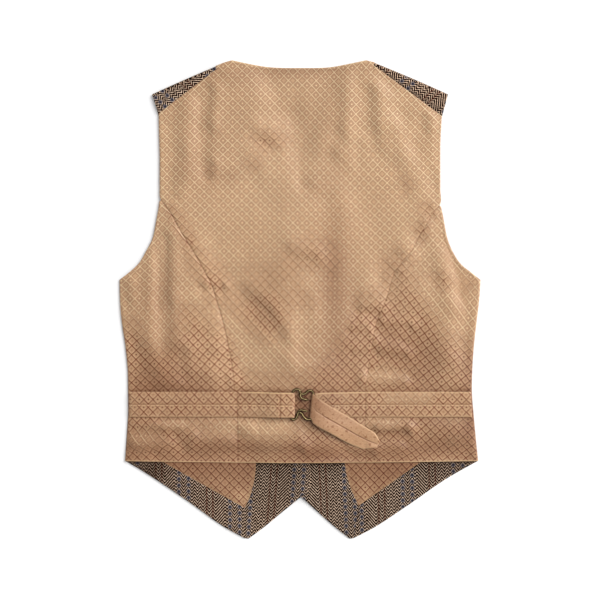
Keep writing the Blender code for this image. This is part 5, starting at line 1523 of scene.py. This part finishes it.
# right strap, round the bar and back as the free tail
rows = np.array([(*up, *low) for up, low in RIGHT_STRAP_ROWS])[:, None, :]
rows, _ = dense_rows(rows, 1.6)
rows = rows[:, 0]
flat = across(rows[:, 0:2], rows[:, 2:4])
x, y = flat[..., 0], flat[..., 1]
f = np.broadcast_to(ACROSS, x.shape)
z = strap_floor(x, y)
near_bar = ease((44.0 - x) / 20.0)
lows = [field(x, y, z)]
highs = [field(x, y, z + STRAP_T - section(f) * (1 - 0.7 * near_bar) - cross_seams(x, (83.5,)))]
s, t = strap_figure(x, y, f)
figs = [field(s, t, strap_painted_edges(x, f) - 0.45 * band(x - 83.5, 1.5))]
lows_figs = [field(s, t, 0 * s)]
sheen_flip, shade_and_tone = strap_state(x, y)
states = [field(sheen_flip, strap_plain(f), shade_and_tone)]
lows_state = [field(sheen_flip, 1.0 + 0 * x, shade_and_tone)]
fold_line = np.array(TAIL_FOLD[0]) + (np.array(TAIL_FOLD[1]) - np.array(TAIL_FOLD[0])) * ACROSS[:, None]
back_way = np.array((1.0, -0.10))
back_way = back_way / np.hypot(*back_way)
for deg in np.linspace(-90.0, 90.0, 13):
    a = math.radians(deg)
    for store, r in ((lows, LOOP_R), (highs, LOOP_R - STRAP_T)):
        p = fold_line + back_way * (LOOP_R - r * math.cos(a))
        zz = FLOOR_RIGHT + LOOP_R + r * math.sin(a)
        store.append(np.column_stack((p, np.full(len(p), zz)))[None])
    p = fold_line
    ss, tt = strap_figure(p[:, 0], p[:, 1], ACROSS)
    figs.append(field(ss, tt, 0 * ss)[None])
    lows_figs.append(field(ss, tt, tail_painted_edges(ACROSS, 0.0))[None])
    # painted shadow on the tail's fold
    deep = 0.70 + 0.05 * math.sin(max(a, 0.0))
    states.append(field(1.0 + 0 * ss, 0 * ss, 0.3 + 0 * ss)[None])
    lows_state.append(field(1.0 + 0 * ss, 1.0 + 0 * ss, deep + 0 * ss)[None])
rows = np.array([(*up, *low, ru, rl) for up, low, ru, rl in TAIL_ROWS])[:, None, :]
rows, _ = dense_rows(rows, 1.7, sharp=(5,))
rows = rows[:, 0]
flat = across(rows[:, 0:2], rows[:, 2:4])
x, y = flat[..., 0], flat[..., 1]
f = np.broadcast_to(ACROSS, x.shape)
rise = rows[:, 4:5] * (1 - f) + rows[:, 5:6] * f
z = np.maximum(cad_back_top(x, y) + rise, back_top(x, y) + 0.35)
end = np.linspace(0, 1, len(x))[:, None]
curl = 0.25 * np.sin(end * 5.0 + 0.6) * ease(end / 0.2) * (1 - 0.4 * f)
z = z + np.maximum(curl, -0.2) * 0.6
tip_round = 0.45 * (1 - ease((1 - end) * len(x) * 1.7 / 2.4))
highs.append(field(x, y, z))
lows.append(field(x, y, z + STRAP_T - tail_section(f) - tip_round + 0.07 * cloud(x, y, 8.0, 85)))
ss, tt = strap_figure(x, y, f)
figs.append(field(ss, tt, 0 * ss))
lows_figs.append(field(ss, tt, tail_painted_edges(f, ease((end - 0.05) / 0.12))))
states.append(field(1.0 + 0 * x, 0 * x, 0.5 + 0 * x))
# painted shadow: the tail darkens toward its fold and its upper edge, with some uneven tone
shade_and_tone = 0.34 - 0.24 * end + 0.20 * np.clip(1 - 2 * f, 0, 1) * (1 - end) + 0.10 * cloud(x, y, 14.0, 84) + 0.30 * (1 - ease(end / 0.38)) * (0.7 + f * 0.3) + 0.10 * (1 - ease(end / 0.07))
lows_state.append(field(1.0 + 0 * x, 1.0 + 0 * x, np.clip(shade_and_tone, 0, 1)))
# the strap's lying face is the upper grid, the tail's seen face the lower one
vis_strap_right = shell("vis_strap_right", np.concatenate(lows), np.concatenate(highs), SATIN,
                        (np.concatenate(lows_figs), np.concatenate(figs)),
                        (np.concatenate(lows_state), np.concatenate(states)), 0.25)
PIECES.append((vis_strap_right, "strap_right", "satin"))

# ---------------------------------------------------------------- buckle
BAR_Z = FLOOR_LEFT + LOOP_R
SIDES = 14


def closed_smooth(points, per):
    pts = np.array(points, float)
    n = len(pts)
    out = []
    for k in range(n):
        p0, p1, p2, p3 = pts[k - 1], pts[k], pts[(k + 1) % n], pts[(k + 2) % n]
        for j in range(per):
            f = j / per
            out.append(0.5 * (2 * p1 + (p2 - p0) * f + (2 * p0 - 5 * p1 + 4 * p2 - p3) * f * f
                              + (3 * p1 - p0 - 3 * p2 + p3) * f ** 3))
    return np.array(out)


def tube(name, path, radii, closed, look, sides=SIDES):
    n = len(path)
    verts = []
    for k in range(n):
        t = (path[(k + 1) % n] - path[k - 1]) if closed else (path[min(k + 1, n - 1)] - path[max(k - 1, 0)])
        t = t / np.linalg.norm(t)
        side = np.cross((0.0, 0.0, 1.0), t)
        side = side / np.linalg.norm(side)
        up = np.cross(t, side)
        for a in np.linspace(0, 2 * math.pi, sides, endpoint=False):
            verts.append(path[k] + radii[k] * (math.cos(a) * side + math.sin(a) * up))
    faces = []
    for k in range(n if closed else n - 1):
        for j in range(sides):
            a, b = k * sides, ((k + 1) % n) * sides
            jn = (j + 1) % sides
            faces.append((a + j, a + jn, b + jn, b + j))
    if not closed:
        faces.append(tuple(reversed(range(sides))))
        faces.append(tuple((n - 1) * sides + j for j in range(sides)))
    return put_mesh(name, verts, faces, (look,))


path = closed_smooth([(x, y, BAR_Z + h) for x, y, h in BUCKLE_FRAME], 9)
free = np.maximum(ease((path[:, 0] + 8.0) / 2.5) * (1 - ease((path[:, 0] - 10.0) / 3.0)),
                  ease((np.abs(path[:, 1] + 134.0) - 15.5) / 2.0))
buckle = tube("vis_buckle", path, WIRE_R * (1.46 + 0.42 * free), True, BRASS)
for label, table in (("upper", PRONG_UPPER), ("lower", PRONG_LOWER)):
    path = smooth_run([(x, y, BAR_Z + h) for x, y, h in table], 30)
    share = np.linspace(0, 1, len(path))
    radii = WIRE_R * (1.72 - 0.80 * ease((share - 0.70) / 0.30))
    prong = tube("prong_" + label, path, radii, False, BRASS)
    join = buckle.modifiers.new("join_" + label, "BOOLEAN")
    join.operation = "UNION"
    join.solver = "EXACT"
    join.object = prong
    bpy.context.view_layer.update()
    depsgraph = bpy.context.evaluated_depsgraph_get()
    joined = bpy.data.meshes.new_from_object(buckle.evaluated_get(depsgraph))
    buckle.modifiers.remove(join)
    bpy.data.objects.remove(prong, do_unlink=True)
    buckle.data = joined
buckle.data.materials.clear()
buckle.data.materials.append(BRASS)
PIECES.append((buckle, "buckle", "brass"))

# ---------------------------------------------------------------- buttons
BUTTON_PROFILE = ((0.30, 0.34), (0.42, 0.36), (0.52, 0.30), (0.60, 0.16), (0.68, 0.05), (0.78, 0.0),
                  (0.90, 0.06), (0.98, 0.20), (1.0, 0.38), (0.985, 0.62), (0.93, 0.82), (0.84, 0.94),
                  (0.70, 1.0), (0.35, 1.0))
HOLE_AT, HOLE_R, TURN_SIDES = 2.3, 0.85, 40
for k, y0 in enumerate(BUTTON_Y):
    verts, faces = [], []
    for r, h in BUTTON_PROFILE:
        for a in np.linspace(0, 2 * math.pi, TURN_SIDES, endpoint=False):
            verts.append((BUTTON_R * r * math.cos(a), y0 + BUTTON_R * r * math.sin(a), BUTTON_T * h))
    for i in range(len(BUTTON_PROFILE) - 1):
        for j in range(TURN_SIDES):
            jn = (j + 1) % TURN_SIDES
            a, b = i * TURN_SIDES, (i + 1) * TURN_SIDES
            faces.append((a + j, b + j, b + jn, a + jn))
    faces.append(tuple(range(TURN_SIDES)))
    last = (len(BUTTON_PROFILE) - 1) * TURN_SIDES
    faces.append(tuple(last + j for j in reversed(range(TURN_SIDES))))
    ob = put_mesh("vis_button_%d" % (k + 1), verts, faces, (HORN,))
    drills = []
    hv, hf = [], []
    for cx, cy in ((1, 1), (-1, 1), (-1, -1), (1, -1)):
        base = len(hv)
        for zz in (-1.0, BUTTON_T + 1.0):
            for a in np.linspace(0, 2 * math.pi, 14, endpoint=False):
                hv.append((cx * HOLE_AT * 0.6 + HOLE_R * math.cos(a),
                           y0 + cy * HOLE_AT * 0.6 + HOLE_R * math.sin(a), zz))
        for j in range(14):
            jn = (j + 1) % 14
            hf.append((base + j, base + jn, base + 14 + jn, base + 14 + j))
        hf.append(tuple(base + j for j in reversed(range(14))))
        hf.append(tuple(base + 14 + j for j in range(14)))
    drill = put_mesh("drill", hv, hf, ())
    cut = ob.modifiers.new("holes", "BOOLEAN")
    cut.operation = "DIFFERENCE"
    cut.solver = "EXACT"
    cut.object = drill
    bpy.context.view_layer.update()
    joined = bpy.data.meshes.new_from_object(ob.evaluated_get(bpy.context.evaluated_depsgraph_get()))
    ob.modifiers.remove(cut)
    bpy.data.objects.remove(drill, do_unlink=True)
    ob.data = joined
    joined.shade_smooth()
    joined.set_sharp_from_angle(angle=math.radians(38))
    joined.materials.clear()
    joined.materials.append(HORN)
    PIECES.append((ob, "button_%d" % (k + 1), "horn"))


# ---------------------------------------------------------------- stitches
def stitches(name, lines, pitch, long, r, look, skip=()):
    """Rows of single stitches, each a small rounded thread."""
    verts, faces = [], []
    sides = 5
    rings = ((-0.5, 0.15, -0.6), (-0.34, 0.85, 0.1), (0.0, 1.0, 0.45), (0.34, 0.85, 0.1), (0.5, 0.15, -0.6))
    for pts in lines:
        pts = np.array(pts, float)
        seg = np.sqrt(((pts[1:] - pts[:-1]) ** 2).sum(1))
        s = np.concatenate(([0.0], np.cumsum(seg)))
        count = int(s[-1] / pitch)
        for k in range(count):
            m = (k + 0.5) * s[-1] / max(count, 1)
            a = np.array([np.interp(m - 0.2, s, pts[:, c]) for c in range(3)])
            b = np.array([np.interp(m + 0.2, s, pts[:, c]) for c in range(3)])
            p = (a + b) / 2
            t = (b - a) / max(np.linalg.norm(b - a), 1e-9)
            side = np.cross((0.0, 0.0, 1.0), t)
            side = side / max(np.linalg.norm(side), 1e-9)
            up = np.cross(t, side)
            base = len(verts)
            for along_t, wide, high in rings:
                c = p + t * along_t * long + up * high * r
                for q in range(sides):
                    g = 2 * math.pi * q / sides
                    verts.append(c + r * wide * (math.cos(g) * side + math.sin(g) * up))
            for i in range(len(rings) - 1):
                for j in range(sides):
                    jn = (j + 1) % sides
                    u0, u1 = base + i * sides, base + (i + 1) * sides
                    faces.append((u0 + j, u0 + jn, u1 + jn, u1 + j))
            faces.append(tuple(base + j for j in reversed(range(sides))))
            faces.append(tuple(base + (len(rings) - 1) * sides + j for j in range(sides)))
    ob = put_mesh(name, verts, faces, (look,))
    PIECES.append((ob, None, "satin"))
    return ob


def on_back(points, lift=0.0):
    pts = np.array(points, float)
    return np.column_stack((pts, back_top(pts[:, 0], pts[:, 1]) + lift))


def inset_line(points, d, inside):
    """A line of points moved sideways by d toward a point inside."""
    pts = np.array(points, float)
    t = np.gradient(pts, axis=0)
    t = t / np.maximum(np.hypot(t[:, 0], t[:, 1])[:, None], 1e-9)
    n = np.stack((-t[:, 1], t[:, 0]), 1)
    side = np.sign(((np.array(inside) - pts) * n).sum(1))
    return pts + n * side[:, None] * d


arm_left = smooth_run([r[1] for r in YOKE_ROWS] + [r[1] for r in BACK_ROWS[:9]], 160)
arm_right = smooth_run([r[2] for r in YOKE_ROWS] + [r[4] for r in BACK_ROWS[:9]], 160)
neck = smooth_run(TOP_RUNS[3][1], 90)
edge_lines = [on_back(inset_line(arm_left, 1.6, (0, 100)), 0.05)[2:-2],
              on_back(inset_line(arm_right, 1.6, (0, 100)), 0.05)[2:-2],
              on_back(inset_line(neck, 2.2, (0, 100)), 0.05)[2:-2]]
stitches("stitch_edges", edge_lines, 2.6, 1.9, 0.17, THREAD_PALE)

def strap_top(x, y, f):
    """Upper face of a lying strap."""
    return strap_floor(x, y) + STRAP_T - section(f)


lines_pale, lines_dark = [], []
for x0, x1 in ((-216.0, -86.0), (27.0, 217.0)):
    xs = np.linspace(x0, x1, 220)
    for f0, low in ((0.950, 0.06), (0.525, 0.10)):
        ys = -118.2 + (-150.0 + 118.2) * f0 + 0 * xs
        lines_pale.append(np.column_stack((xs, ys, strap_top(xs, ys, np.full(len(xs), f0)) + low)))
stitches("stitch_straps", lines_pale, 2.1, 1.45, 0.20, THREAD_PALE)

# ================================================================ floor, lights, camera
bpy.ops.mesh.primitive_plane_add(size=24.0, location=(0, 0, -0.0001))
floor = bpy.context.object
floor.name = "floor"
floor.data.materials.append(floor_material())

world = bpy.data.worlds.new("studio")
bpy.context.scene.world = world
world.use_nodes = True
world.node_tree.nodes["Background"].inputs[0].default_value = (1.0, 1.0, 1.0, 1.0)
world.node_tree.nodes["Background"].inputs[1].default_value = 0.51


def sun(name, azimuth, elevation, share, softness):
    """Sun that stands at azimuth from +X and adds share to the floor."""
    lamp = bpy.data.lights.new(name, "SUN")
    lamp.energy = math.pi * share / math.sin(math.radians(elevation))
    lamp.angle = math.radians(softness)
    ob = bpy.data.objects.new(name, lamp)
    bpy.context.scene.collection.objects.link(ob)
    ob.rotation_euler = (0.0, math.radians(90.0 - elevation), math.radians(azimuth))
    return ob


sun("key", KEY_AZ, KEY_EL, 0.52, 38.0)
sun("graze", 6.0, 11.0, 0.14, 16.0)

camera_data = bpy.data.cameras.new("camera")
camera_data.lens = 85.0
camera_data.sensor_width = 36.0
camera_data.sensor_fit = "HORIZONTAL"
camera_data.clip_start = 0.05
camera_data.clip_end = 60.0
camera = bpy.data.objects.new("camera", camera_data)
bpy.context.scene.collection.objects.link(camera)
camera.location = (0.0, -0.0005, 1.8133)
camera.rotation_euler = (0.0, 0.0, 0.0)
bpy.context.scene.camera = camera
bpy.context.scene.view_settings.view_transform = "Standard"
bpy.context.scene.view_settings.look = "None"

# ================================================================ what each piece stands for
# each piece is hung from the root, and the CAD part it stands for is hidden
for ob, node, slot in PIECES:
    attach(ob, "root")
    if node:
        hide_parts(node)
